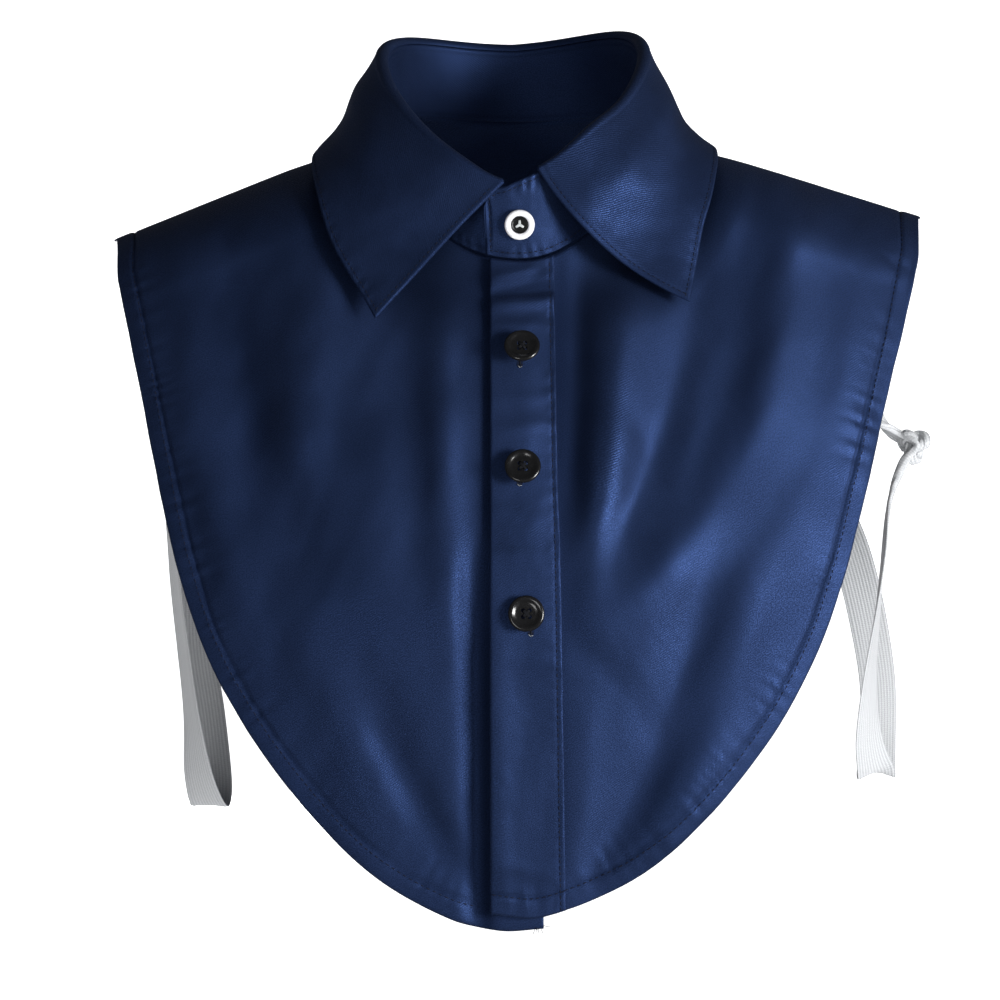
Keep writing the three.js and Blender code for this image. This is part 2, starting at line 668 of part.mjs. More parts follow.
// The point of the top bib's outer face seen from the front at x and z, near the centre.
function topFace(x, z) {
  const start = neckline(neckDegrees(x), OVERLAP_LIFT);
  const drop = dropAt(x, z);
  const fade = ease((drop - dropAt(start.x, start.z - TUCK)) / NECK_FADE);
  const point = onTorso(x, drop);
  const fix = start.y - onTorso(start.x, dropAt(start.x, start.z - TUCK)).y;
  point.y += fix * (1 - fade) - frontLift(x, z) * fade - CLOTH / 2;
  return point;
}

// The placket: the straight ribs of the top bib again, one cloth further out.
function placketShell(bib) {
  const ribs = bib.slice(0, PLACKET.ribs + 1);
  const inner = CLOTH / 2 + GAP;
  return shell(ribs, () => inner + CLOTH, () => inner, true);
}

function slot(x, y, z, across, deep, high) {
  return new THREE.BoxGeometry(across, deep, high).translate(x, y, z);
}

// A row of a strap that lies on the inside of a bib, with its y and its turn from the cloth.
function sewnRow(row) {
  if (!row.side) return row;
  const drop = row.side * dropAt(row.x, row.z);
  const here = onTorso(row.x, drop);
  const nextX = row.x + LEAF_PROBE;
  const next = onTorso(nextX, row.side * dropAt(nextX, row.z));
  const across = next.sub(here);
  const inwards = CLOTH / 2 + HEM_EXTRA + GAP + STRAP_WALL / 2;
  const turn = THREE.MathUtils.radToDeg(Math.atan2(across.y, across.x)) + (row.x < 0 ? 180 : 0);
  return { ...row, y: here.y + row.side * inwards * STRAP_CLEAR, turn };
}

// A band swept along its rows; the section is a flat rectangle that a gather draws together.
function strap(rows, knot) {
  const steps = STRAP_STEPS;
  const nudge = 0.2 / steps;
  const rowsAt = rows.map((row, i) => ({ ...sewnRow(row), at: i / (rows.length - 1) }));
  const place = (t) => new THREE.Vector3(...["x", "y", "z"].map((key) => column(rowsAt, "at", key, t)));
  const positions = [];
  const index = [];
  for (let i = 0; i <= steps; i++) {
    const t = i / steps;
    const middle = place(t);
    const tangent = place(Math.min(1, t + nudge)).sub(place(Math.max(0, t - nudge))).normalize();
    const turn = radians(column(rowsAt, "at", "turn", t));
    const wide = new THREE.Vector3(Math.cos(turn), Math.sin(turn), 0);
    wide.addScaledVector(tangent, -wide.dot(tangent)).normalize();
    const thick = new THREE.Vector3().crossVectors(wide, tangent).normalize();
    const gather = clamp(column(rowsAt, "at", "gather", t), 0, 1);
    const swell = knot ? KNOT.swell * Math.exp(-(((t - KNOT.at) / KNOT.spread) ** 2)) : 0;
    const halfWide = mix(STRAP_WIDTH / 2, STRAP_BUNDLE, gather) + swell * KNOT.wide;
    const halfThick = mix(STRAP_WALL / 2, STRAP_BUNDLE, gather) + swell * KNOT.thick;
    for (const [a, b] of [[1, 1], [-1, 1], [-1, -1], [1, -1]]) {
      const corner = middle.clone().addScaledVector(wide, a * halfWide);
      corner.addScaledVector(thick, b * halfThick);
      positions.push(corner.x, corner.y, corner.z);
    }
    if (i < steps)
      for (let k = 0; k < 4; k++) {
        const [p, q] = [i * 4 + k, i * 4 + ((k + 1) % 4)];
        index.push(p, q, q + 4, p, q + 4, p + 4);
      }
  }
  const end = steps * 4;
  index.push(0, 3, 2, 0, 2, 1, end, end + 1, end + 2, end, end + 2, end + 3);
  const geometry = new THREE.BufferGeometry();
  geometry.setAttribute("position", new THREE.Float32BufferAttribute(positions, 3));
  geometry.setIndex(index);
  return outward(geometry);
}

function rod(radius, length, sides) {
  return new THREE.CylinderGeometry(radius, radius, length, sides).rotateX(Math.PI / 2);
}

// A turned solid from a half section given in shares of a radius and a height.
function lathe(section, { radius, height, ring = 0 }, sides) {
  const points = section.map((row) => {
    const across = row.ring === undefined ? row.across * radius : ring + row.ring;
    return new THREE.Vector2(across, row.up * height);
  });
  return new THREE.LatheGeometry(points, sides).rotateX(Math.PI / 2);
}

function holes(ring, count, first) {
  return ringPlaces(ring, count, first).map(([x, y]) => rod(BUTTON.holeRadius, 12, 6).translate(x, y, 0));
}

function ringPlaces(radius, count, first) {
  return Array.from({ length: count }, (_, i) => {
    const a = first + (2 * Math.PI * i) / count;
    return [radius * Math.cos(a), radius * Math.sin(a)];
  });
}

// A four-hole button lying in XY with its face to +Z.
function blackButton() {
  return cut(lathe(BUTTON_SECTION, BUTTON, 20), holes(BUTTON.holeRing, 4, Math.PI / 4));
}

// The white rim of the collar button, a ring round the dark centre.
function collarButtonRim() {
  return lathe(RIM_SECTION, COLLAR_BUTTON, 24);
}

function collarButtonCentre() {
  const { ring, height, centreUp, holeRing } = COLLAR_BUTTON;
  const disc = rod(ring - GAP, height * centreUp, 18).translate(0, 0, (height * centreUp) / 2);
  return cut(disc, holes(holeRing, 3, Math.PI / 2));
}

// The thread of a button: a shank below it, a pin up each hole and bars across the top.
function buttonThread({ ring, count, top, reach, shankTurn = 0 }) {
  const places = ringPlaces(ring, count, count === 3 ? Math.PI / 2 : Math.PI / 4);
  const shank = new THREE.BoxGeometry(2 * THREAD.shank, THREAD.shankWide, reach).rotateZ(shankTurn);
  const parts = [
    shank.translate(0, 0, -GAP - reach / 2),
    rod(ring + THREAD.pin, THREAD.disc, 8).translate(0, 0, -GAP - THREAD.disc / 2),
  ];
  const length = top + GAP + THREAD.disc / 2;
  for (const [x, y] of places) parts.push(rod(THREAD.pin, length, 4).translate(x, y, top - length / 2));
  places.forEach(([x, y], i) => {
    const [x2, y2] = count === 3 ? [0, 0] : places[(i + 2) % count];
    if (count === 4 && i > 1) return;
    const span = Math.hypot(x2 - x, y2 - y) + THREAD.pin;
    const bar = new THREE.BoxGeometry(span, 2 * THREAD.pin, THREAD.bar);
    bar.rotateZ(Math.atan2(y2 - y, x2 - x)).translate((x + x2) / 2, (y + y2) / 2, top);
    parts.push(bar);
  });
  return join(parts);
}

// A button and its thread as a group at its place on the cloth, tilted up from the front.
function buttonGroup({ x, z, tilt, radius }, faceY, meshes) {
  const group = new THREE.Group();
  const off = radius * Math.abs(Math.sin(radians(tilt))) + BUTTON.clear;
  group.add(...meshes);
  group.rotation.set(Math.PI / 2 - radians(tilt), 0, 0);
  group.position.set(x, faceY - off, z);
  return group;
}

const collar = new THREE.Group();
collar.name = "detachable_collar";

// The bibs and the placket, with a buttonhole behind each button.
const slots = PLACKET_BUTTONS.map(({ x, z }) => {
  const middleY = topFace(x, z).y - CLOTH;
  return slot(x, middleY, z - BUTTONHOLE.below, BUTTONHOLE.width, BUTTONHOLE.depth, BUTTONHOLE.length);
});
const leftRibs = leftBibGrid(18, 15);
const leftBib = cut(bibShell(leftRibs, true), slots);
const placket = cut(placketShell(leftRibs), slots);
collar.add(
  named("front_bib_left", leftBib, FABRIC),
  named("front_bib_right", bibShell(rightBibGrid(18, 15), false), FABRIC),
  named("back_bib", bibShell(backBibGrid(13, 9), true), FABRIC),
  named("placket_strip", placket, FABRIC_TOP),
);

// The stand, slotted in its outer lap for the collar button, and the leaf.
const standFront = [neckline(0, OVERLAP_LIFT).y, standTop(0, OVERLAP_LIFT).y];
const standFaceY = mix(...standFront, COLLAR_BUTTON.share) - STAND_WALL / 2;
const standSlot = slot(
  COLLAR_BUTTON.x,
  standFaceY,
  COLLAR_BUTTON.z,
  BUTTONHOLE.length,
  2 * STAND_WALL + STAND_HOLE.deeper,
  BUTTONHOLE.width + STAND_HOLE.wider,
);
const standWall = shell(standGrid(52, 3), () => STAND_WALL / 2, () => -STAND_WALL / 2, false);
const leafWall = shell(leafGrid(42, 4, 6), () => LEAF_WALL / 2, () => -LEAF_WALL / 2, false);
collar.add(
  named("collar_stand", cut(standWall, [standSlot]), FABRIC_TOP),
  named("collar_leaf", leafWall, FABRIC),
);

// The buttons with their threads.
for (const button of PLACKET_BUTTONS) {
  const faceY = topFace(button.x, button.z).y - CLOTH - GAP;
  const { holeRing, height } = BUTTON;
  const thread = buttonThread({ ring: holeRing, count: 4, top: height, reach: button.reach });
  collar.add(
    buttonGroup({ ...button, radius: BUTTON.radius }, faceY, [
      named(button.name, blackButton(), BLACK_PLASTIC),
      named(`${button.name}_thread`, thread, THREAD_BLACK),
    ]),
  );
}
const collarThread = buttonThread({
  ring: COLLAR_BUTTON.holeRing,
  count: 3,
  top: COLLAR_BUTTON.height * COLLAR_BUTTON.centreUp + THREAD.bar / 2 + GAP,
  reach: COLLAR_BUTTON.reach,
  shankTurn: Math.PI / 2,
});
collar.add(
  buttonGroup(COLLAR_BUTTON, standFaceY, [
    named("collar_button_rim", collarButtonRim(), WHITE_PLASTIC),
    named("collar_button_centre", collarButtonCentre(), BLACK_PLASTIC),
    named("collar_button_thread", collarThread, THREAD_GREY),
  ]),
);

collar.add(
  named("side_strap_right", strap(RIGHT_STRAP, false), ELASTIC),
  named("side_strap_left", strap(LEFT_STRAP, true), ELASTIC),
);

export default collar;
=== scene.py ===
"""Navy satin detachable collar in its worn form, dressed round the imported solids.

Millimetres are used while shapes are worked out, and metres in every mesh.
+X is the wearer's left, -Y the front and +Z up.
"""

from __future__ import annotations

import logging
import math
from dataclasses import dataclass, field
from enum import Enum
from typing import Any, Callable, Iterable, Optional, Sequence

import bpy
import numpy as np
from mathutils import Matrix, Vector

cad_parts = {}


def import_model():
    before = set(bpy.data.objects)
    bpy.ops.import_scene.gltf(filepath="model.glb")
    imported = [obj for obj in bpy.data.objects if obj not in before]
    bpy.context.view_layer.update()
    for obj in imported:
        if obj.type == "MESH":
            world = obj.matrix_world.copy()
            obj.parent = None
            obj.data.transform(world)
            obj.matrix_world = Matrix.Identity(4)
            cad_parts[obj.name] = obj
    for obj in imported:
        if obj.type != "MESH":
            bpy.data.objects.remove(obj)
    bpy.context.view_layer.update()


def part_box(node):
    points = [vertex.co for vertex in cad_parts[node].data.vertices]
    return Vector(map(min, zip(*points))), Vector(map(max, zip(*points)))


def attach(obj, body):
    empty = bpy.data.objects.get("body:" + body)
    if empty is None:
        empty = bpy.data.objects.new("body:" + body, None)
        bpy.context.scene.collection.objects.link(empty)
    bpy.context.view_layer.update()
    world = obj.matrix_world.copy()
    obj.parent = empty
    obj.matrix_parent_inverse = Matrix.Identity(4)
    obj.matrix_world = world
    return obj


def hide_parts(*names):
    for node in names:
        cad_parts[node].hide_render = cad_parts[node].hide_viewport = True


LOG = logging.getLogger("collar")
MM = 0.001
BODY = "root"
RIPPLE_CELLS = 64
FOLD_FADE = 0.45
POINTS_AT_ONCE = 6000


class Slot(Enum):
    """The record's material slots."""

    SATIN = "navy_satin"
    ELASTIC = "white_elastic"
    BLACK = "black_plastic"
    WHITE = "white_plastic"
    DARK_THREAD = "dark_thread"
    GREY_THREAD = "grey_thread"


class Held(Enum):
    """How a piece of cloth is held."""

    DRAPED = "draped"
    FOLDED = "folded"


# Numbers and curves


def ease(t: np.ndarray) -> np.ndarray:
    """Smooth step from 0 to 1."""
    s = np.clip(t, 0.0, 1.0)
    return s * s * (3.0 - 2.0 * s)


def mix(a: Any, b: Any, t: Any) -> Any:
    """The value a share t of the way from a to b."""
    return a + (b - a) * t


def bell(t: np.ndarray) -> np.ndarray:
    """A bell curve, 1 in the middle and 0.37 at 1."""
    return np.exp(-(t**2))


def curve(xs: Sequence[float], ys: Sequence[float], at: np.ndarray) -> np.ndarray:
    """A smooth curve through points.

    Args:
        xs: places of the points, rising or falling.
        ys: their values.
        at: where the curve is read.

    Returns:
        The values there, held at the two ends.
    """
    px, py = np.asarray(xs, float), np.asarray(ys, float)
    if px[-1] < px[0]:
        px, py = px[::-1], py[::-1]
    order = np.arange(len(px))
    hi, lo = np.minimum(order + 1, len(px) - 1), np.maximum(order - 1, 0)
    slope = (py[hi] - py[lo]) / (px[hi] - px[lo])
    t = np.clip(at, px[0], px[-1])
    i = np.clip(np.searchsorted(px, t, side="right") - 1, 0, len(px) - 2)
    run = px[i + 1] - px[i]
    s = (t - px[i]) / run
    s2, s3 = s * s, s * s * s
    head = (2 * s3 - 3 * s2 + 1) * py[i] + (s3 - 2 * s2 + s) * run * slope[i]
    return head + (3 * s2 - 2 * s3) * py[i + 1] + (s3 - s2) * run * slope[i + 1]


def ripple(x: np.ndarray, y: np.ndarray, seed: int) -> np.ndarray:
    """Gradient noise of about -0.7 to 0.7 with features one unit across.

    Args:
        x: first coordinates.
        y: second coordinates.
        seed: picks the pattern.

    Returns:
        The noise at each point.
    """
    turns = np.random.default_rng(seed).random((RIPPLE_CELLS, RIPPLE_CELLS)) * 2 * np.pi
    xi, yi = np.floor(x).astype(int), np.floor(y).astype(int)
    xf, yf = x - xi, y - yi

    def corner(dx: int, dy: int) -> np.ndarray:
        """The share that one corner of the cell gives."""
        a = turns[(xi + dx) % RIPPLE_CELLS, (yi + dy) % RIPPLE_CELLS]
        return np.cos(a) * (xf - dx) + np.sin(a) * (yf - dy)

    u = xf**3 * (xf * (xf * 6 - 15) + 10)
    v = yf**3 * (yf * (yf * 6 - 15) + 10)
    near = mix(corner(0, 0), corner(1, 0), u)
    return mix(near, mix(corner(0, 1), corner(1, 1), u), v)


@dataclass(frozen=True)
class Fold:
    """A soft fold seen from the front: a crest if height is positive, or a valley."""

    x0: float
    z0: float
    x1: float
    z1: float
    bow: float
    width: float
    height: float

    def at(self, x: np.ndarray, z: np.ndarray, beyond: float = 0.3) -> np.ndarray:
        """The fold's height at points seen from the front."""
        dx, dz = self.x1 - self.x0, self.z1 - self.z0
        length = math.hypot(dx, dz)
        s = ((x - self.x0) * dx + (z - self.z0) * dz) / length**2
        aside = ((x - self.x0) * -dz + (z - self.z0) * dx) / length - self.bow * 4 * s * (1 - s)
        fade = ease((s + beyond) / FOLD_FADE) * ease((1 + beyond - s) / FOLD_FADE)
        return self.height * fade * bell(aside / self.width)


# The body of the garment


@dataclass(frozen=True)
class Torso:
    """The form that the cloth lies on: a shoulder ridge rounded over into front and back."""

    neck_side: float = 62.0
    ridge_top: float = 20.0
    ridge_bend: float = 30.0
    ridge_depth: float = 4.0
    ridge_sweep: float = 0.05
    slope: float = 0.365
    tilt: float = 0.045
    tilt_width: float = 60.0
    crown: float = 30.0
    crown_width: float = 40.0
    round_: float = 38.0
    arc: float = 72.0
    power: float = 2.4
    widest: float = 0.985
    front: tuple = (
        (60, 50), (-41, 66), (-80, 80), (-125, 94), (-182, 105), (-250, 103), (-340, 96),
    )
    back: tuple = ((60, 48), (20, 60), (-30, 74), (-110, 84), (-200, 80), (-310, 74))
    width: tuple = ((60, 206), (-60, 205), (-180, 198), (-340, 186))
    folds: tuple[Fold, ...] = (
        Fold(27, -50, 24, -150, 0, 7, -2.6),
        Fold(47, -56, 32, -180, 0, 10, 4),
        Fold(82, -40, 38, -165, 6, 10, -3.4),
        Fold(122, -14, 52, -190, 18, 14, 5),
        Fold(106, -184, 56, -300, 6, 13, 3.6),
        Fold(78, -190, 38, -300, 4, 11, -3),
        Fold(-34, -70, -30, -195, 0, 9, 2.6),
        Fold(-79, -36, -100, -128, 0, 16, 4),
        Fold(-112, -112, -88, -176, 0, 15, -3.4),
        Fold(-62, -228, -34, -300, 0, 11, -2.6),
        Fold(-19, -190, -17, -318, 0, 6, -3.4),
    )

    def ridge_z(self, x: np.ndarray) -> np.ndarray:
        """Height of the shoulder ridge."""
        out = np.hypot(x, self.ridge_bend) - math.hypot(self.neck_side, self.ridge_bend)
        slope = self.slope - self.tilt * np.tanh(x / self.tilt_width)
        return self.ridge_top - slope * out + self.crown * bell(x / self.crown_width)

    def ridge_y(self, x: np.ndarray) -> np.ndarray:
        """Depth of the shoulder ridge."""
        return self.ridge_depth - self.ridge_sweep * np.maximum(0.0, np.abs(x) - self.neck_side)

    def place(self, x: np.ndarray, drop: np.ndarray) -> np.ndarray:
        """Points on the torso.

        Args:
            x: places across.
            drop: way down the front from the ridge, or down the back if negative.

        Returns:
            The points, with x, y and z along the last axis.
        """
        down = np.abs(drop)
        turn = np.minimum(down / self.arc, 1.0) * (np.pi / 2)
        z = self.ridge_z(x) - self.round_ * (1 - np.cos(turn)) - np.maximum(0.0, down - self.arc)
        wide = curve(*zip(*self.width), z)
        section = (1 - np.minimum(np.abs(x / wide), self.widest) ** self.power) ** (1 / self.power)
        front = -curve(*zip(*self.front), z) * section - sum(f.at(x, z) for f in self.folds)
        plane = np.where(drop >= 0, front, curve(*zip(*self.back), z) * section)
        y = self.ridge_y(x) + (plane - self.ridge_y(x)) * np.sin(turn)
        return np.stack(np.broadcast_arrays(x, y, z), -1)

    def drop_at(self, x: np.ndarray, z: np.ndarray) -> np.ndarray:
        """The drop of a point seen from the front."""
        below = np.maximum(0.0, self.ridge_z(x) - z)
        curved = self.arc * np.arccos(np.clip(1 - below / self.round_, -1, 1)) / (np.pi / 2)
        return np.where(below >= self.round_, self.arc + below - self.round_, curved)


@dataclass(frozen=True)
class Neck:
    """The neckline seam and the top edge of the stand, by the angle from the centre front."""

    half: float = 62.0
    centre_y: float = -4.0
    lap_height: float = 2.5
    lap_ends: tuple = (-13.5, 70.0)
    top_inset: tuple = (4.5, 2.0)
    top_centre: tuple = (-2.0, -11.0)
    heights: tuple = (
        (-180, 30.5), (-120, 33), (-90, 35.5), (-62, 37.5), (-40, 38), (-21, 36.3), (-10, 33.7),
        (-3, 32), (3, 34), (10, 35.8), (21, 37.2), (40, 37.5), (62, 36.5), (90, 34.5), (120, 33),
        (180, 30.5),
    )

    def degrees(self, x: float) -> float:
        """The angle at a place across the front."""
        return math.degrees(math.asin(x / self.half))

    def lap(self, degrees: np.ndarray) -> np.ndarray:
        """How far the upper end of the stand rides over the lower one."""
        lifted = self.lap_height * (1 - ease((degrees - 12) / 50))
        return np.where((degrees < self.lap_ends[0]) | (degrees > self.lap_ends[1]), 0.0, lifted)

    def seam(self, degrees: np.ndarray, lift: Any = 0.0) -> np.ndarray:
        """Points of the neckline seam, moved outwards by lift."""
        a = np.radians(degrees)
        c = np.cos(a)
        z = 20 * np.sin(a) ** 2 - 38.25 * c - 2.75 * c * c + 4 * bell((degrees - 34) / 15)
        x, y = (self.half + lift) * np.sin(a), self.centre_y - (self.half + lift) * c
        return np.stack(np.broadcast_arrays(x, y, z), -1)

    def top(self, degrees: np.ndarray, lift: Any = 0.0) -> np.ndarray:
        """Points of the stand's top edge."""
        a = np.radians(degrees)
        x = (self.half - self.top_inset[0] + lift) * np.sin(a) + self.top_centre[0]
        y = self.top_centre[1] - (self.half - self.top_inset[1] + lift) * np.cos(a)
        z = self.seam(degrees)[..., 2] + curve(*zip(*self.heights), degrees) + 0.03 * x
        return np.stack(np.broadcast_arrays(x, y, z), -1)


TORSO = Torso()
NECK = Neck()


# Meshes


def along_line(points: np.ndarray) -> np.ndarray:
    """How far along a line each of its points lies."""
    return np.concatenate([[0], np.cumsum(np.linalg.norm(np.diff(points, axis=0), axis=1))])


def inside_out(triangles: np.ndarray) -> bool:
    """Whether a closed mesh faces inwards, from the sign of the volume in its triangles."""
    volumes = np.einsum("ij,ij->i", triangles[:, 0], np.cross(triangles[:, 1], triangles[:, 2]))
    return bool(volumes.sum() < 0)


def normals_of(grid: np.ndarray, out: np.ndarray) -> np.ndarray:
    """Unit normals of a grid of points.

    Args:
        grid: points as rows and columns.
        out: a rough outward direction at the middle of the grid.

    Returns:
        A normal for each point, on the side that out points to.
    """
    n = np.cross(np.gradient(grid, axis=0), np.gradient(grid, axis=1))
    n /= np.maximum(np.linalg.norm(n, axis=-1, keepdims=True), 1e-9)
    n[:, -3:], n[:2], n[-2:] = n[:, -4:-3], n[2:3], n[-3:-2]
    middle = n[grid.shape[0] // 2, grid.shape[1] // 2]
    return n if float(np.dot(middle, out)) > 0 else -n


def link(name: str, verts: np.ndarray, faces: Any, uv: Optional[np.ndarray] = None,
         shade: Optional[np.ndarray] = None, metres: bool = False) -> bpy.types.Object:
    """A smooth mesh object with its faces pointing outwards.

    Args:
        name: the piece's name.
        verts: points in millimetres, or in metres if metres is true.
        faces: lists of point numbers.
        uv: pattern coordinates of each point.
        shade: how much darker each point is, 0 to 1.
        metres: whether the points are already in metres.

    Returns:
        The new object, linked to the scene.
    """
    points = np.asarray(verts, float) * (1.0 if metres else MM)
    mesh = bpy.data.meshes.new(name)
    mesh.from_pydata(points.tolist(), [], faces.tolist() if isinstance(faces, np.ndarray) else faces)
    mesh.update()
    if uv is not None:
        layer = mesh.uv_layers.new(name="cloth")
        loops = np.empty(len(mesh.loops), int)
        mesh.loops.foreach_get("vertex_index", loops)
        layer.data.foreach_set("uv", np.asarray(uv, float)[loops].astype(np.float32).ravel())
    if shade is not None:
        attribute = mesh.attributes.new("shade", "FLOAT", "POINT")
        attribute.data.foreach_set("value", np.asarray(shade, np.float32).ravel())
    mesh.shade_smooth()
    made = bpy.data.objects.new(name, mesh)
    bpy.context.scene.collection.objects.link(made)
    return made


def shell(name: str, grid: np.ndarray, out: Sequence[float], outer: np.ndarray, inner: np.ndarray,
          uv: np.ndarray, shade: np.ndarray) -> tuple[bpy.types.Object, np.ndarray]:
    """A closed cloth wall from a grid of points.

    Args:
        name: the piece's name.
        grid: the middle surface.
        out: a rough outward direction.
        outer: how far the outer face lies off the grid, for each point.
        inner: how far the inner face lies off it, negative inwards.
        uv: pattern coordinates of each point.
        shade: how much darker each point is.

    Returns:
        The object and the outer face's points.
    """
    rows, cols = grid.shape[:2]
    n = normals_of(grid, np.asarray(out, float))
    front = grid + n * np.broadcast_to(outer, (rows, cols))[..., None]
    rear = grid + n * np.broadcast_to(inner, (rows, cols))[..., None]
    verts = np.concatenate([front.reshape(-1, 3), rear.reshape(-1, 3)])
    ids = np.arange(rows * cols).reshape(rows, cols)
    corners = (ids[:-1, :-1], ids[1:, :-1], ids[1:, 1:], ids[:-1, 1:])
    sheet = np.stack([c.ravel() for c in corners], -1)
    size = rows * cols
    rim = np.concatenate([ids[:, 0], ids[-1, 1:], ids[-2::-1, -1], ids[0, -2:0:-1]])
    after = np.roll(rim, -1)
    side = np.stack([rim, rim + size, after + size, after], -1)
    faces = np.concatenate([sheet, sheet[:, ::-1] + size, side])
    if inside_out(verts[faces[:, [0, 1, 2, 0, 2, 3]].reshape(-1, 3)]):
        faces = faces[:, ::-1]
    both_uv, both_shade = np.tile(uv.reshape(-1, 2), (2, 1)), np.tile(shade.ravel(), 2)
    return link(name, verts, faces, both_uv, both_shade), front


def sweep(name: str, path: np.ndarray, wide: np.ndarray, section: Callable[[float], np.ndarray],
          closed: bool = False) -> bpy.types.Object:
    """A band swept along a path.

    Args:
        name: the piece's name.
        path: points of its middle line.
        wide: the direction of its width at each point.
        section: gives the outline at a share of the way, as rows of (across, through).
        closed: whether the last point meets the first.

    Returns:
        The new object.
    """
    count = len(path)
    around = np.roll(path, -1, 0) - np.roll(path, 1, 0)
    tangent = around if closed else np.gradient(path, axis=0)
    tangent /= np.linalg.norm(tangent, axis=1, keepdims=True)
    w = wide - tangent * np.einsum("ij,ij->i", wide, tangent)[:, None]
    w /= np.linalg.norm(w, axis=1, keepdims=True)
    thick = np.cross(w, tangent)
    away = along_line(path)
    verts, uv = [], []
    for i in range(count):
        outline = section(i / (count - 1))
        verts.append(path[i] + outline[:, :1] * w[i] + outline[:, 1:] * thick[i])
        uv.append(np.stack([outline[:, 0], np.full(len(outline), away[i])], -1))
    k = len(verts[0])
    ids = np.arange(count * k).reshape(count, k)
    if closed:
        ids = np.concatenate([ids, ids[:1]])
    a, b = ids[:-1].ravel(), np.roll(ids[:-1], -1, 1).ravel()
    c, d = np.roll(ids[1:], -1, 1).ravel(), ids[1:].ravel()
    faces = np.stack([a, b, c, d], -1).tolist()
    if not closed:
        faces += [ids[0, ::-1].tolist(), ids[-1].tolist()]
    points = np.concatenate(verts)
    if inside_out(points[np.array([f[:3] for f in faces[: len(a)]])]):
        faces = [f[::-1] for f in faces]
    return link(name, points, faces, np.concatenate(uv))


def edge_distance(grid: np.ndarray, edge: np.ndarray) -> tuple[np.ndarray, np.ndarray]:
    """How far each grid point lies from an edge.

    Args:
        grid: points as rows and columns.
        edge: points along the edge.

    Returns:
        The distance of each grid point, and how far along the edge its nearest point is.
    """
    along = along_line(edge)
    flat = grid.reshape(-1, 3)
    best, where = np.full(len(flat), 1e9), np.zeros(len(flat))
    for start in range(0, len(flat), POINTS_AT_ONCE):
        part = slice(start, start + POINTS_AT_ONCE)
        gap = np.linalg.norm(flat[part][:, None] - edge[None], axis=2)
        near = gap.argmin(1)
        best[part] = gap[np.arange(len(gap)), near]
        where[part] = along[near]
    return best.reshape(grid.shape[:2]), where.reshape(grid.shape[:2])


def inset(front: np.ndarray, gap: float, first: float, last: float) -> np.ndarray:
    """The line that runs beside the far edge of a grid.

    Args:
        front: points as rows and columns; the edge is the last column.
        gap: how far inside the edge the line runs.
        first: how far from the first row it starts.
        last: how far from the last row it ends.

    Returns:
        The points of the line.
    """
    line = []
    for row in front:
        away = along_line(row[::-1])
        line.append([np.interp(gap, away, row[::-1, k]) for k in range(3)])
    line = np.array(line)
    along = along_line(line)
    return line[(along >= first) & (along <= along[-1] - last)]


# Shader maths


class Val:
    """A socket that takes part in Python expressions; each operator adds a Math node."""

    def __init__(self, tree: bpy.types.NodeTree, socket: Any) -> None:
        """Wraps one output socket."""
        self.tree, self.socket = tree, socket

    def _math(self, kind: str, *values: Any) -> Val:
        """A Math node on values."""
        return Shader.on(self.tree).node("ShaderNodeMath", {"operation": kind}, values)

    def __add__(self, other: Any) -> Val:
        """Sum."""
        return self._math("ADD", self, other)

    __radd__ = __add__

    def __mul__(self, other: Any) -> Val:
        """Product."""
        return self._math("MULTIPLY", self, other)

    def __sub__(self, other: Any) -> Val:
        """Difference."""
        return self._math("SUBTRACT", self, other)

    def __rsub__(self, other: Any) -> Val:
        """Difference from a number."""
        return self._math("SUBTRACT", other, self)

    def sine(self) -> Val:
        """Sine."""
        return self._math("SINE", self)

    def clamp(self) -> Val:
        """Held between 0 and 1."""
        return self._math("MINIMUM", self._math("MAXIMUM", self, 0.0), 1.0)


class Shader:
    """Builds one material's nodes."""

    def __init__(self, name: str) -> None:
        """Starts an empty material."""
        self.material = bpy.data.materials.new(name)
        self.material.use_nodes = True
        self.tree = self.material.node_tree
        self.tree.nodes.clear()

    @classmethod
    def on(cls, tree: bpy.types.NodeTree) -> Shader:
        """A builder on a tree that exists."""
        made = cls.__new__(cls)
        made.tree = tree
        return made

    def node(self, kind: str, settings: Optional[dict] = None, values: Any = (),
             out: int = 0) -> Val:
        """Adds a node.

        Args:
            kind: the node's type.
            settings: its settings, which are set first.
            values: numbers or links by socket place, or by name in a dict.
            out: the output that is wanted.

        Returns:
            The wrapped output.
        """
        made = self.tree.nodes.new(kind)
        for key, value in (settings or {}).items():
            setattr(made, key, value)
        pairs = values.items() if isinstance(values, dict) else enumerate(values)
        for key, value in pairs:
            if isinstance(value, Val):
                self.tree.links.new(value.socket, made.inputs[key])
            else:
                made.inputs[key].default_value = value
        return Val(self.tree, made.outputs[out])

    def blend(self, share: Any, a: Any, b: Any) -> Val:
        """A colour between two colours."""
        return self.node("ShaderNodeMix", {"data_type": "RGBA"}, {0: share, 6: a, 7: b}, 2)

    def pattern(self) -> tuple[Val, Val, Val]:
        """The cloth's pattern coordinates in millimetres: whole, across and along."""
        uv = self.node("ShaderNodeUVMap", {"uv_map": "cloth"})
        across = self.node("ShaderNodeSeparateXYZ", None, [uv])
        return uv, across, Val(self.tree, across.socket.node.outputs[1])

    def noise(self, place: Val, scale: float, detail: float, flat: bool = True) -> Val:
        """Noise over the flat pattern, or else through space."""
        settings = {"noise_dimensions": "2D"} if flat else None
        values = {"Vector": place, "Scale": scale, "Detail": detail}
        return self.node("ShaderNodeTexNoise", settings, values)

    def finish(self, shader: Val) -> bpy.types.Material:
        """Links the last shader and returns the material."""
        end = self.tree.nodes.new("ShaderNodeOutputMaterial")
        self.tree.links.new(shader.socket, end.inputs["Surface"])
        return self.material


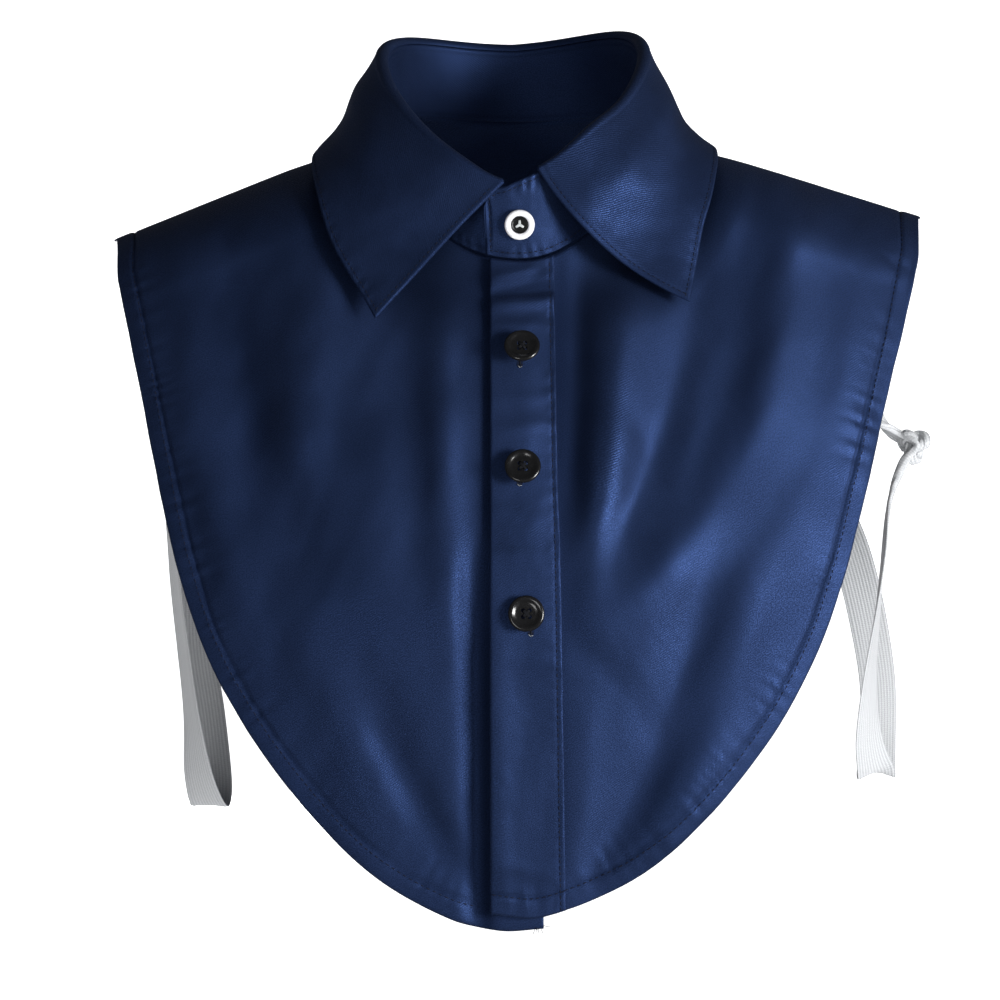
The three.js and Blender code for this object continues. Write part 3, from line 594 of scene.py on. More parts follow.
@dataclass(frozen=True)
class Satin:
    """Navy satin: a dark twill ground with a soft sheen, small changes of tone and painted shade."""

    name: str = "navy_satin_cloth"
    dark: tuple = (0.0026, 0.0044, 0.0110, 1.0)
    light: tuple = (0.0092, 0.0156, 0.0400, 1.0)
    # The colour that the painted shade darkens towards: shade in grooves, crease valleys and along
    # rims, and cast shadows.
    seam: tuple = (0.0012, 0.0020, 0.0055, 1.0)
    sheen: tuple = (0.18, 0.35, 1.0, 1.0)
    roughness: float = 0.56
    pitch: float = 1.05
    bump: float = 0.25

    def build(self) -> bpy.types.Material:
        """The material's nodes, on the pieces' own pattern coordinates in millimetres."""
        s = Shader(self.name)
        uv, u, v = s.pattern()
        wander = s.noise(uv, 0.25, 2.0)
        twill = ((u * 0.62 + v + wander * 0.7) * (2 * math.pi / self.pitch)).sine() * 0.5 + 0.5
        stretch = s.node("ShaderNodeCombineXYZ", None, [u * 3.0, v * 0.5, 0.0])
        yarn = s.noise(stretch, 0.9, 2.0)
        broad = s.noise(uv, 0.022, 3.0)
        shade = s.node("ShaderNodeAttribute", {"attribute_name": "shade"}, out=2)
        grain = s.noise(uv, 1.7, 1.0)
        speck = ((grain - 0.5) * 3.0 + 0.5).clamp()
        tone = (twill * 0.25 + yarn * 0.30 + speck * 0.80 + broad * 0.7 - 0.55).clamp()
        ground = s.blend(tone, self.dark, self.light)
        # Painted shade: the shade attribute darkens the ground towards this shade colour.
        colour = s.blend(shade.clamp() * 0.85, ground, self.seam)
        rough = self.roughness + (0.5 - speck) * 0.16 + (yarn - 0.5) * 0.2
        rough = (rough + (broad - 0.5) * 0.34 + shade * 0.25).clamp()
        height = twill * 0.8 + yarn * 0.4 + speck * 0.4
        bump = s.node("ShaderNodeBump", None, {
            "Strength": self.bump, "Distance": 0.00022, "Height": height,
        })
        body = s.node("ShaderNodeBsdfPrincipled", None, {
            "Base Color": colour, "Roughness": rough, "Normal": bump, "Specular IOR Level": 1.0,
            "IOR": 1.45, "Specular Tint": self.sheen,
        })
        return s.finish(body)


@dataclass(frozen=True)
class Knit:
    """White knitted elastic: lengthways ribs crossed by fine courses."""

    name: str = "white_elastic_knit"
    dark: tuple = (0.25, 0.26, 0.275, 1.0)
    light: tuple = (0.54, 0.55, 0.565, 1.0)
    rib: float = 1.5
    course: float = 0.9

    def build(self) -> bpy.types.Material:
        """The material's nodes, on the band's own pattern coordinates in millimetres."""
        s = Shader(self.name)
        uv, u, v = s.pattern()
        ribs = (u * (2 * math.pi / self.rib)).sine() * 0.5 + 0.5
        rows = ((v + ribs * 0.25) * (2 * math.pi / self.course)).sine() * 0.5 + 0.5
        fuzz = s.noise(uv, 1.3, 3.0)
        tone = (ribs * 0.4 + rows * 0.25 + fuzz * 0.5).clamp()
        colour = s.blend(tone, self.dark, self.light)
        height = ribs * 0.7 + rows * 0.5 + fuzz * 0.3
        bump = s.node("ShaderNodeBump", None, {"Strength": 0.5, "Distance": 0.0003, "Height": height})
        rough = (0.72 + (fuzz - 0.5) * 0.2).clamp()
        body = s.node("ShaderNodeBsdfPrincipled", None, {
            "Base Color": colour, "Roughness": rough, "Normal": bump, "Sheen Weight": 0.2,
        })
        return s.finish(body)


@dataclass(frozen=True)
class Plastic:
    """Moulded, polished plastic with faint rubbing marks."""

    name: str
    colour: tuple
    worn: tuple
    roughness: float = 0.14

    def build(self) -> bpy.types.Material:
        """The material's nodes, on object coordinates."""
        s = Shader(self.name)
        place = s.node("ShaderNodeTexCoord", out=3)
        rub = s.noise(place, 900.0, 4.0, flat=False)
        cloud = s.noise(place, 190.0, 2.0, flat=False)
        colour = s.blend((cloud * 0.7 + rub * 0.3).clamp(), self.colour, self.worn)
        rough = (self.roughness + (rub - 0.45) * 0.25).clamp()
        bump = s.node("ShaderNodeBump", None, {"Strength": 0.08, "Distance": 0.0001, "Height": cloud})
        body = s.node("ShaderNodeBsdfPrincipled", None, {
            "Base Color": colour, "Roughness": rough, "Normal": bump, "Coat Weight": 0.2,
            "Coat Roughness": 0.1,
        })
        return s.finish(body)


@dataclass(frozen=True)
class Thread:
    """Twisted sewing thread."""

    name: str
    dark: tuple
    light: tuple

    def build(self) -> bpy.types.Material:
        """The material's nodes, on object coordinates."""
        s = Shader(self.name)
        place = s.node("ShaderNodeTexCoord", out=3)
        ply = s.node("ShaderNodeTexWave", None, {"Vector": place, "Scale": 900.0, "Distortion": 2.0})
        fuzz = s.noise(place, 2500.0, 2.0, flat=False)
        wave = Val(s.tree, ply.socket.node.outputs["Fac"])
        colour = s.blend((wave * 0.6 + fuzz * 0.4).clamp(), self.dark, self.light)
        bump = s.node("ShaderNodeBump", None, {"Strength": 0.3, "Distance": 0.00008, "Height": wave})
        rough = (0.55 + fuzz * 0.3).clamp()
        body = s.node("ShaderNodeBsdfPrincipled", None, {
            "Base Color": colour, "Roughness": rough, "Normal": bump, "Specular IOR Level": 0.2,
        })
        return s.finish(body)


@dataclass(frozen=True)
class Paper:
    """Plain pale studio paper with a glow of its own, so that it stays white."""

    name: str
    colour: tuple
    glow: float = 0.85

    def build(self) -> bpy.types.Material:
        """The material's nodes, on object coordinates."""
        s = Shader(self.name)
        place = s.node("ShaderNodeTexCoord", out=3)
        grain = s.noise(place, 6.0, 2.0, flat=False)
        colour = s.blend(grain * 0.1, self.colour, tuple(0.96 * c for c in self.colour[:3]) + (1.0,))
        return s.finish(s.node("ShaderNodeBsdfPrincipled", None, {
            "Base Color": colour, "Roughness": 0.9, "Specular IOR Level": 0.1,
            "Emission Color": (1.0, 1.0, 1.0, 1.0), "Emission Strength": self.glow,
        }))


@dataclass
class Palette:
    """All the finishes, built once."""

    made: dict = field(default_factory=dict)

    def get(self, finish: Any) -> bpy.types.Material:
        """The material of a finish."""
        if finish.name not in self.made:
            self.made[finish.name] = finish.build()
        return self.made[finish.name]


SATIN = Satin()
KNIT = Knit()
BLACK = Plastic("polished_black_plastic", (0.003, 0.003, 0.003, 1), (0.009, 0.009, 0.010, 1), 0.2)
WHITE = Plastic("polished_white_plastic", (0.62, 0.62, 0.65, 1), (0.82, 0.82, 0.85, 1), 0.2)
NAVY_THREAD = Thread("navy_sewing_thread", (0.0015, 0.0025, 0.007, 1), (0.006, 0.010, 0.030, 1))
BLACK_THREAD = Thread("black_button_thread", (0.002, 0.0025, 0.004, 1), (0.010, 0.011, 0.015, 1))
GREY_THREAD = Thread("grey_button_thread", (0.36, 0.38, 0.38, 1), (0.66, 0.68, 0.68, 1))


# Sewing with Geometry Nodes


class Sewing:
    """Node trees that lay stitches and strands along lines."""

    def __init__(self) -> None:
        """Builds both trees once."""
        self.row_tree = self._tree("stitch_row", ("Pitch", "Length", "Radius"))
        self.strand_tree = self._tree("strand", ("Radius",))
        self._fill_row(self.row_tree)
        self._fill_strand(self.strand_tree)

    @staticmethod
    def _tree(name: str, sizes: Iterable[str]) -> bpy.types.NodeTree:
        """An empty tree with named inputs for its sizes."""
        tree = bpy.data.node_groups.new(name, "GeometryNodeTree")
        tree.interface.new_socket("Geometry", in_out="INPUT", socket_type="NodeSocketGeometry")
        for label in sizes:
            tree.interface.new_socket(label, in_out="INPUT", socket_type="NodeSocketFloat")
        seed = tree.interface.new_socket("Seed", in_out="INPUT", socket_type="NodeSocketInt")
        seed.default_value = 7
        tree.interface.new_socket("Finish", in_out="INPUT", socket_type="NodeSocketMaterial")
        tree.interface.new_socket("Geometry", in_out="OUTPUT", socket_type="NodeSocketGeometry")
        return tree

    @staticmethod
    def _add(tree: bpy.types.NodeTree, kind: str, settings: Optional[dict] = None,
             values: Optional[dict] = None) -> bpy.types.Node:
        """Adds a node with its settings first and then its values or links."""
        made = tree.nodes.new(kind)
        for key, value in (settings or {}).items():
            setattr(made, key, value)
        for key, value in (values or {}).items():
            if isinstance(value, bpy.types.NodeSocket):
                tree.links.new(value, made.inputs[key])
            else:
                made.inputs[key].default_value = value
        return made

    def _fill_row(self, tree: bpy.types.NodeTree) -> None:
        """Stitches: small rods along the line, each a little different in length."""
        given = self._add(tree, "NodeGroupInput").outputs
        line = self._add(tree, "GeometryNodeMeshToCurve", None, {"Mesh": given["Geometry"]})
        spots = self._add(tree, "GeometryNodeCurveToPoints", {"mode": "LENGTH"},
                          {"Curve": line.outputs[0], "Length": given["Pitch"]})
        rod = self._add(tree, "GeometryNodeMeshUVSphere", None,
                        {"Segments": 6, "Rings": 5, "Radius": 0.5})
        vary = self._add(tree, "FunctionNodeRandomValue", {"data_type": "FLOAT"},
                         {2: 0.85, 3: 1.1, "Seed": given["Seed"]})
        long = self._add(tree, "ShaderNodeMath", {"operation": "MULTIPLY"},
                         {0: given["Length"], 1: vary.outputs[1]})
        wide = self._add(tree, "ShaderNodeMath", {"operation": "MULTIPLY"},
                         {0: given["Radius"], 1: 2.0})
        size = self._add(tree, "ShaderNodeCombineXYZ", None,
                         {0: wide.outputs[0], 1: wide.outputs[0], 2: long.outputs[0]})
        laid = self._add(tree, "GeometryNodeInstanceOnPoints", None, {
            "Points": spots.outputs["Points"], "Instance": rod.outputs["Mesh"],
            "Rotation": spots.outputs["Rotation"], "Scale": size.outputs[0]})
        self._end(tree, laid.outputs[0], given)

    def _fill_strand(self, tree: bpy.types.NodeTree) -> None:
        """Strands: a thin round thread along every line."""
        given = self._add(tree, "NodeGroupInput").outputs
        line = self._add(tree, "GeometryNodeMeshToCurve", None, {"Mesh": given["Geometry"]})
        ring = self._add(tree, "GeometryNodeCurvePrimitiveCircle", {"mode": "RADIUS"},
                         {"Resolution": 6, "Radius": given["Radius"]})
        tube = self._add(tree, "GeometryNodeCurveToMesh", None, {
            "Curve": line.outputs[0], "Profile Curve": ring.outputs[0], "Fill Caps": True})
        self._end(tree, tube.outputs[0], given)

    def _end(self, tree: bpy.types.NodeTree, geometry: bpy.types.NodeSocket, given: Any) -> None:
        """Closes a tree with Realize Instances and Set Material."""
        real = self._add(tree, "GeometryNodeRealizeInstances", None, {"Geometry": geometry})
        smooth = self._add(tree, "GeometryNodeSetShadeSmooth", None, {"Geometry": real.outputs[0]})
        done = self._add(tree, "GeometryNodeSetMaterial", None,
                         {"Geometry": smooth.outputs[0], "Material": given["Finish"]})
        self._add(tree, "NodeGroupOutput", None, {"Geometry": done.outputs[0]})

    def lay(self, name: str, tree: bpy.types.NodeTree, lines: Sequence[np.ndarray],
            finish: bpy.types.Material, **sizes: float) -> bpy.types.Object:
        """Runs a tree along lines and keeps the result as a plain mesh.

        Args:
            name: the piece's name.
            tree: the stitch or strand tree.
            lines: lists of points in millimetres.
            finish: the thread's material.
            sizes: the tree's named sizes, in metres.

        Returns:
            The new piece.
        """
        verts = np.concatenate(lines) * MM
        edges, start = [], 0
        for one in lines:
            edges += [(start + i, start + i + 1) for i in range(len(one) - 1)]
            start += len(one)
        mesh = bpy.data.meshes.new(name + "_line")
        mesh.from_pydata(verts.tolist(), edges, [])
        carrier = bpy.data.objects.new(name + "_line", mesh)
        bpy.context.scene.collection.objects.link(carrier)
        modifier = carrier.modifiers.new("sewing", "NODES")
        modifier.node_group = tree
        wanted = {**sizes, "Finish": finish}
        for item in tree.interface.items_tree:
            if item.in_out == "INPUT" and item.name in wanted:
                modifier[item.identifier] = wanted[item.name]
        view = bpy.context.evaluated_depsgraph_get()
        baked = bpy.data.meshes.new_from_object(carrier.evaluated_get(view))
        baked.name = name
        carrier.modifiers.remove(modifier)
        bpy.data.objects.remove(carrier)
        piece = bpy.data.objects.new(name, baked)
        bpy.context.scene.collection.objects.link(piece)
        return piece


@dataclass
class Workshop:
    """What every sub-assembly uses: finishes, sewing trees and the list of pieces."""

    palette: Palette = field(default_factory=Palette)
    sewing: Sewing = field(default_factory=Sewing)
    pieces: list = field(default_factory=list)

    def dress(self, piece: bpy.types.Object, slot: Slot, finish: Any = None,
              replaces: Sequence[str] = ()) -> bpy.types.Object:
        """Finishes a piece and ties it to the frame.

        Args:
            piece: the object.
            slot: the record's slot that it takes; not used.
            finish: its finish, unless it has its material already.
            replaces: names of the nodes it stands for.

        Returns:
            The same object.
        """
        if finish is not None:
            piece.data.materials.clear()
            piece.data.materials.append(self.palette.get(finish))
        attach(piece, BODY)
        if replaces:
            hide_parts(*replaces)
        self.pieces.append(piece)
        return piece

    def stitches(self, name: str, lines: Sequence[np.ndarray], pitch: float, length: float,
                 radius: float) -> bpy.types.Object:
        """Rows of navy stitches along lines."""
        thread = self.palette.get(NAVY_THREAD)
        piece = self.sewing.lay(name, self.sewing.row_tree, lines, thread,
                                Pitch=pitch * MM, Length=length * MM, Radius=radius * MM)
        return self.dress(piece, Slot.DARK_THREAD)

    def strands(self, name: str, lines: Sequence[np.ndarray], radius: float, finish: Thread,
                slot: Slot, replaces: Sequence[str] = ()) -> bpy.types.Object:
        """Thin threads along lines."""
        piece = self.sewing.lay(name, self.sewing.strand_tree, lines, self.palette.get(finish),
                                Radius=radius * MM)
        return self.dress(piece, slot, None, replaces)


# The bibs and the placket


OVER_EDGE = -11.8
HEM_BAND = 7.6
HEM_ROW = 8.9
HEM_STITCH = (2.9, 2.0, 0.26)
CLOTH_OUT, CLOTH_IN = 0.6, -0.45
SEAM_HELD = 0.07


def down_rib(stops: int) -> np.ndarray:
    """Places down a rib, evenly spaced, and closer together at the edge."""
    v = np.linspace(0, 1, stops + 1)
    return np.concatenate([v[:-1], [1 - 0.45 / stops, 1 - 0.18 / stops, 1]])


def wall_share(count: int) -> np.ndarray:
    """The wall's share of its full thickness at each place down a rib, less at the edge."""
    thin = np.ones(count)
    thin[-3:] = (0.9, 0.62, 0.2)
    return thin


def free_down(v: np.ndarray) -> np.ndarray:
    """How free the cloth is at places down a rib, as the neckline and the hem hold it."""
    return ease(v[None] * 6) * ease((1.0 - v[None]) * 30 + 0.3)


def seam_shadow(u: np.ndarray) -> np.ndarray:
    """The darkness of the cloth beside the shoulder seam, at 1."""
    return 0.8 * ease((u - 0.99) / 0.009)[:, None]


def hem_wave(gap: np.ndarray, along: np.ndarray,
             seed: int) -> tuple[np.ndarray, np.ndarray, np.ndarray]:
    """The turned hem: a doubled band, its sewn groove with painted shade, and the puckers that the
    thread draws up.

    Args:
        gap: distance of each point from the edge.
        along: place of each point along the edge.
        seed: picks the puckers.

    Returns:
        The height of the band, the height of the puckers, and the painted shade in the groove.
    """
    step = 0.4 * (1 - ease((gap - HEM_BAND) / 1.6))
    groove = -0.6 * bell((gap - HEM_ROW) / 0.9)
    beat = ripple(along / 34.0, np.full_like(along, 3.5), seed) * 2.6
    pucker = np.sin(2 * np.pi * (along / 8.2 + beat))
    pucker = pucker + 0.6 * np.sin(2 * np.pi * (along / 5.1 + beat * 1.7))
    strength = 0.55 + 1.1 * ripple(along / 26.0, np.full_like(along, 9.2), seed + 1)
    reach = np.where(gap < HEM_ROW, bell((gap - HEM_ROW) / 6.5), bell((gap - HEM_ROW) / 9.0))
    lip = 0.34 * pucker * strength * reach
    edge = 0.55 * ripple(along / 16.0, np.full_like(along, 1.3), seed + 2) * bell(gap / 6.0)
    # The last value is painted shade along the sewn groove.
    return step + groove, lip + edge, 0.6 * bell((gap - HEM_ROW) / 0.7)


@dataclass
class Bib:
    """One bib: its cut, its ribs from the neckline to the outer edge, and its surface."""

    name: str
    outline: tuple
    neck_from: float
    neck_to: float
    coarse: int
    straight: Optional[tuple] = None
    back: bool = False
    lift: bool = False
    fans: int = 220
    stops: int = 150
    seam: float = 0.03
    creases: tuple[Fold, ...] = ()
    flat: tuple = (0.3, 0.3)
    area: float = 0.05
    seed: int = 1
    rest: tuple = ()
    front: Any = None

    def shares(self) -> tuple[np.ndarray, np.ndarray, np.ndarray]:
        """The outline's rows with how far along the outline each lies."""
        x, z = np.array(self.outline, float).T
        away = np.concatenate([[0], np.cumsum(np.hypot(np.diff(x), np.diff(z)))])
        return x, z, away / away[-1]

    def share_at(self, place: float) -> float:
        """The share of the outline at which it first reaches a place across."""
        x, _, share = self.shares()
        for i in range(1, len(x)):
            if (x[i] - place) * (x[i - 1] - place) <= 0:
                return float(mix(share[i - 1], share[i], (place - x[i - 1]) / (x[i] - x[i - 1])))
        return 0.0

    def surface(self, u: np.ndarray, v: np.ndarray) -> np.ndarray:
        """Points of the middle surface.

        Args:
            u: place round the bib, below 0 under the placket and 1 at the shoulder seam.
            v: place down each rib, 0 at the neckline and 1 at the edge.

        Returns:
            A grid of points with a row for each u and a column for each v.
        """
        xs, zs, share = self.shares()
        k, up = np.minimum(u, 0.0), np.maximum(u, 0.0)
        fanned = self.share_at(self.straight[1]) if self.straight else 0.0
        at = mix(fanned * (1 + k), 1.0, up)
        degrees = mix(self.neck_from, self.neck_to, up)
        if self.straight:
            start_x = mix(NECK.half * math.sin(math.radians(self.neck_from)), self.straight[0], -k)
            degrees = np.where(u < 0, np.degrees(np.arcsin(start_x / NECK.half)), degrees)
        raised = NECK.lap(degrees) if self.lift else 0.0
        start = NECK.seam(degrees, raised) - np.array([0, 0, 1.4])
        end_x, end_z = curve(share, xs, at), curve(share, zs, at)
        side = -1 if self.back else 1
        last = np.clip(up * self.coarse - (self.coarse - 1), 0, 1)
        neck_drop = np.maximum(self.seam, TORSO.drop_at(start[..., 0], start[..., 2]))
        edge_drop = np.maximum(self.seam, TORSO.drop_at(end_x, end_z))
        first = mix(neck_drop, self.seam, last) * side
        final = mix(edge_drop, self.seam, last) * side
        fix = start - TORSO.place(start[..., 0], first)
        length = np.hypot(end_x - start[..., 0], final - first)
        x = mix(start[:, None, 0], end_x[:, None], v[None])
        drop = mix(first[:, None], final[:, None], v[None])
        point = TORSO.place(x, drop)
        faded = ease(v[None] * length[:, None] / 45)[..., None]
        point = point + fix[:, None] * (1 - faded)
        if self.lift:
            x, z = point[..., 0], point[..., 2]
            edge = 2.2 * bell((x - OVER_EDGE) / 9) * np.exp(-(((z + 262) / 62) ** 4))
            point[..., 1] -= (NECK.lap_height * (1 - ease((x - 14) / 50)) + edge) * faded[..., 0]
        return point

    def strip_shadow(self, x: np.ndarray, z: np.ndarray) -> np.ndarray:
        """The painted shadow and shade on the cloth where it goes in under or beside the strip."""
        if self.lift:
            # Painted shade in the valley beside the strip's sewn edge, and near its top.
            beside = 0.55 * bell((x - 19) / 3.4) * ease((z + 330) / 30)
            return beside + 0.5 * bell((x - 22) / 7) * bell((z + 78) / 62)
        # Painted shadow that the strip's folded edge casts on the under bib.
        return (0.7 + 0.4 * ease((-180 - z) / 60)) * bell((x + 13.0) / 3.2)

    def stations(self) -> tuple[np.ndarray, np.ndarray]:
        """Where the surface is read, round the bib and down each rib."""
        fanned = np.linspace(0, 1, self.fans + 1)
        return np.concatenate([np.linspace(-1, 0, 25)[:-1], fanned]), down_rib(self.stops)

    def build(self, shop: Workshop) -> bpy.types.Object:
        """A front bib as a closed cloth wall with its hem, wrinkles and stitches.

        Args:
            shop: finishes and sewing.

        Returns:
            The bib's object.
        """
        u, v = self.stations()
        grid = self.surface(u, v)
        out = np.array([0, -1.0, 0.3])
        n = normals_of(grid, out)
        x, z = grid[..., 0], grid[..., 2]
        gap, along = edge_distance(grid, grid[:, -1])
        high, lip, dark = hem_wave(gap, along, self.seed)
        under = ease((np.abs(x) - 16) / 12)
        joined = ease((1 - u) / SEAM_HELD)[:, None]
        high, dark = (high + lip * joined) * under, dark * under
        freedom = free_down(v)
        soft = 1.2 * ripple(x / 34.0 + 0.2 * z / 34.0, z / 90.0, self.seed + 10)
        soft += 0.34 * ripple(x / 12.0 - 0.35 * z / 12.0, z / 30.0, self.seed + 11)
        soft += 0.09 * ripple(x / 5.0 + z / 11.0, z / 9.0, self.seed + 12)
        drag = sum(f.at(x, z) for f in self.creases)
        # Painted shade in the crease valleys, beside the strip and by the shoulder seam, added to the
        # hem groove's painted shade.
        dark = dark + 0.12 * np.clip(-drag, 0, 3.2) * freedom + self.strip_shadow(x, z) + seam_shadow(u)
        calm = ease((np.abs(x - 4) - 12) / 14)
        grid = grid + n * ((soft * freedom * calm * joined + drag * freedom * joined + high)[..., None])
        uv, wall = np.stack([x, -z], -1), wall_share(len(v))[None]
        piece, self.front = shell(self.name + "_cloth", grid, out, CLOTH_OUT * wall, CLOTH_IN * wall,
                                  uv, dark)
        shop.dress(piece, Slot.SATIN, SATIN, [self.name])
        list(self.rest)
        keep = np.abs(self.front[:, -1, 0]) > 20
        line = inset(self.front[keep], HEM_ROW, 0, 6)
        shop.stitches(self.name + "_hem_stitches", [line], *HEM_STITCH)
        return piece


LEFT_BIB = Bib(
    name="front_bib_left",
    outline=((-11.8, -324.5), (10, -326), (49, -310.5), (80, -285), (108.2, -251), (127.7, -217),
             (141.2, -182), (151.2, -147), (162.7, -102.5), (175.2, -57), (185.2, -18.5)),
    neck_from=NECK.degrees(OVER_EDGE + 27), neck_to=94.2, coarse=18,
    straight=(OVER_EDGE, OVER_EDGE + 32),
    lift=True, seed=21, flat=(0.225, 0.385), area=0.0577, rest=("front_bib_right",),
    creases=(
        Fold(54, -58, 44, -150, 0, 15, 2.4), Fold(100, -30, 84, -150, 5, 17, -3.0),
        Fold(148, -60, 122, -170, 6, 15, 2.2), Fold(84, -196, 36, -298, 5, 9, -1.0),
        Fold(17, -84, 60, -132, 4, 6.5, -0.5), Fold(19, -136, 58, -182, 3, 7, -0.5),
        Fold(17, -199, 62, -252, 3, 7, -0.5), Fold(134, -120, 92, -236, 9, 12, -1.6),
        Fold(92, -196, 52, -258, 4, 10, 1.2), Fold(30, -236, 24, -306, 0, 7, 0.9),
        Fold(124, -190, 88, -262, 5, 9, 1.0), Fold(14, -36, 15, -142, 0, 8.5, -2.3),
        Fold(36, -58, 36, -150, 0, 10, 1.7), Fold(17, -150, 22, -206, 0, 7, -1.0),
        Fold(172, -40, 160, -110, 2, 9, -1.2),
    ),
)
RIGHT_BIB = Bib(
    name="front_bib_right",
    outline=((11, -331.5), (-7.5, -332.5), (-29, -327.5), (-60, -310.5), (-87.3, -285),
             (-113.8, -251.5), (-133.8, -217), (-146.8, -182), (-155.8, -147), (-165.8, -102.5),
             (-176.8, -57), (-184.8, -28.5)),
    neck_from=NECK.degrees(OVER_EDGE), neck_to=-94.2, coarse=18, straight=(11.0, OVER_EDGE),
    seed=44, flat=(0.215, 0.39), area=0.0585,
    creases=(
        Fold(-34, -108, -33, -150, 0, 6, 0.9), Fold(-52, -84, -44, -176, 3, 10, -1.2),
        Fold(-122, -84, -106, -196, 4, 13, -1.6), Fold(-66, -130, -58, -226, 3, 12, 1.2),
        Fold(-62, -246, -24, -312, 2, 7, -1.3), Fold(-92, -206, -62, -282, 4, 12, 1.6),
        Fold(-132, -146, -112, -216, 3, 10, 1.0), Fold(-152, -34, -142, -112, 3, 9, 1.4),
        Fold(-128, -40, -118, -150, 3, 10, -1.9), Fold(-100, -36, -92, -128, 3, 12, 1.8),
        Fold(-150, -130, -136, -196, 3, 8, -1.0), Fold(-20, -180, -22, -296, 0, 6, -0.8),
    ),
)
BACK_ROWS = ((0, -300), (34, -294), (66, -276), (95, -248), (116, -215), (132, -180), (144, -143),
             (157, -100), (172, -57), (184, -20))


@dataclass
class BackBib:
    """The back bib: two halves, left and right, joined down the middle."""

    name: str = "back_bib"
    fans: int = 95
    stops: int = 84
    seed: int = 71
    creases: tuple[Fold, ...] = (
        Fold(-90, -40, -40, -190, 6, 12, 2.4), Fold(96, -36, 46, -180, 6, 12, 2.2),
        Fold(-14, -60, -18, -250, 0, 13, 2.0), Fold(30, -90, 22, -270, 0, 9, -1.6),
    )

    def build(self, shop: Workshop) -> bpy.types.Object:
        """The back as one closed cloth wall.

        Args:
            shop: finishes and sewing.

        Returns:
            The back's object.
        """
        mirrored = tuple((-x, z - 10 * (x / 184) ** 2) for x, z in BACK_ROWS)
        left = Bib(self.name, BACK_ROWS, 180.0, 95.8, 13, back=True)
        right = Bib(self.name, mirrored, -180.0, -95.8, 13, back=True)
        u = np.linspace(0, 1, self.fans + 1)
        v = down_rib(self.stops)
        grid = np.concatenate([right.surface(u, v)[:0:-1], left.surface(u, v)])
        out = np.array([0, 1.0, 0.3])
        n = normals_of(grid, out)
        x, z = grid[..., 0], grid[..., 2]
        gap, along = edge_distance(grid, grid[:, -1])
        high, lip, dark = hem_wave(gap, along, self.seed)
        aside = np.abs(np.linspace(-1, 1, len(grid)))
        joined = ease((1 - aside) / SEAM_HELD)[:, None]
        freedom = ease(v[None] * 6) * joined
        high = high + lip * joined
        # Painted shade in the hem's groove and painted shadow by the shoulder seams.
        dark = dark + seam_shadow(aside)
        soft = 1.5 * ripple(x / 34.0, z / 90.0, self.seed + 4)
        soft = soft + 0.5 * ripple(x / 13.0, z / 34.0, self.seed + 5)
        yoke = sum(f.at(x, z) for f in self.creases)
        grid = grid + n * (((soft + yoke) * freedom + high)[..., None])
        uv, wall = np.stack([x, -z], -1), wall_share(len(v))[None]
        piece, front = shell("back_bib_cloth", grid, out, CLOTH_OUT * wall, CLOTH_IN * wall, uv, dark)
        shop.dress(piece, Slot.SATIN, SATIN, [self.name])
        shop.stitches("back_bib_hem_stitches", [inset(front, HEM_ROW, 6, 6)], *HEM_STITCH)
        return piece


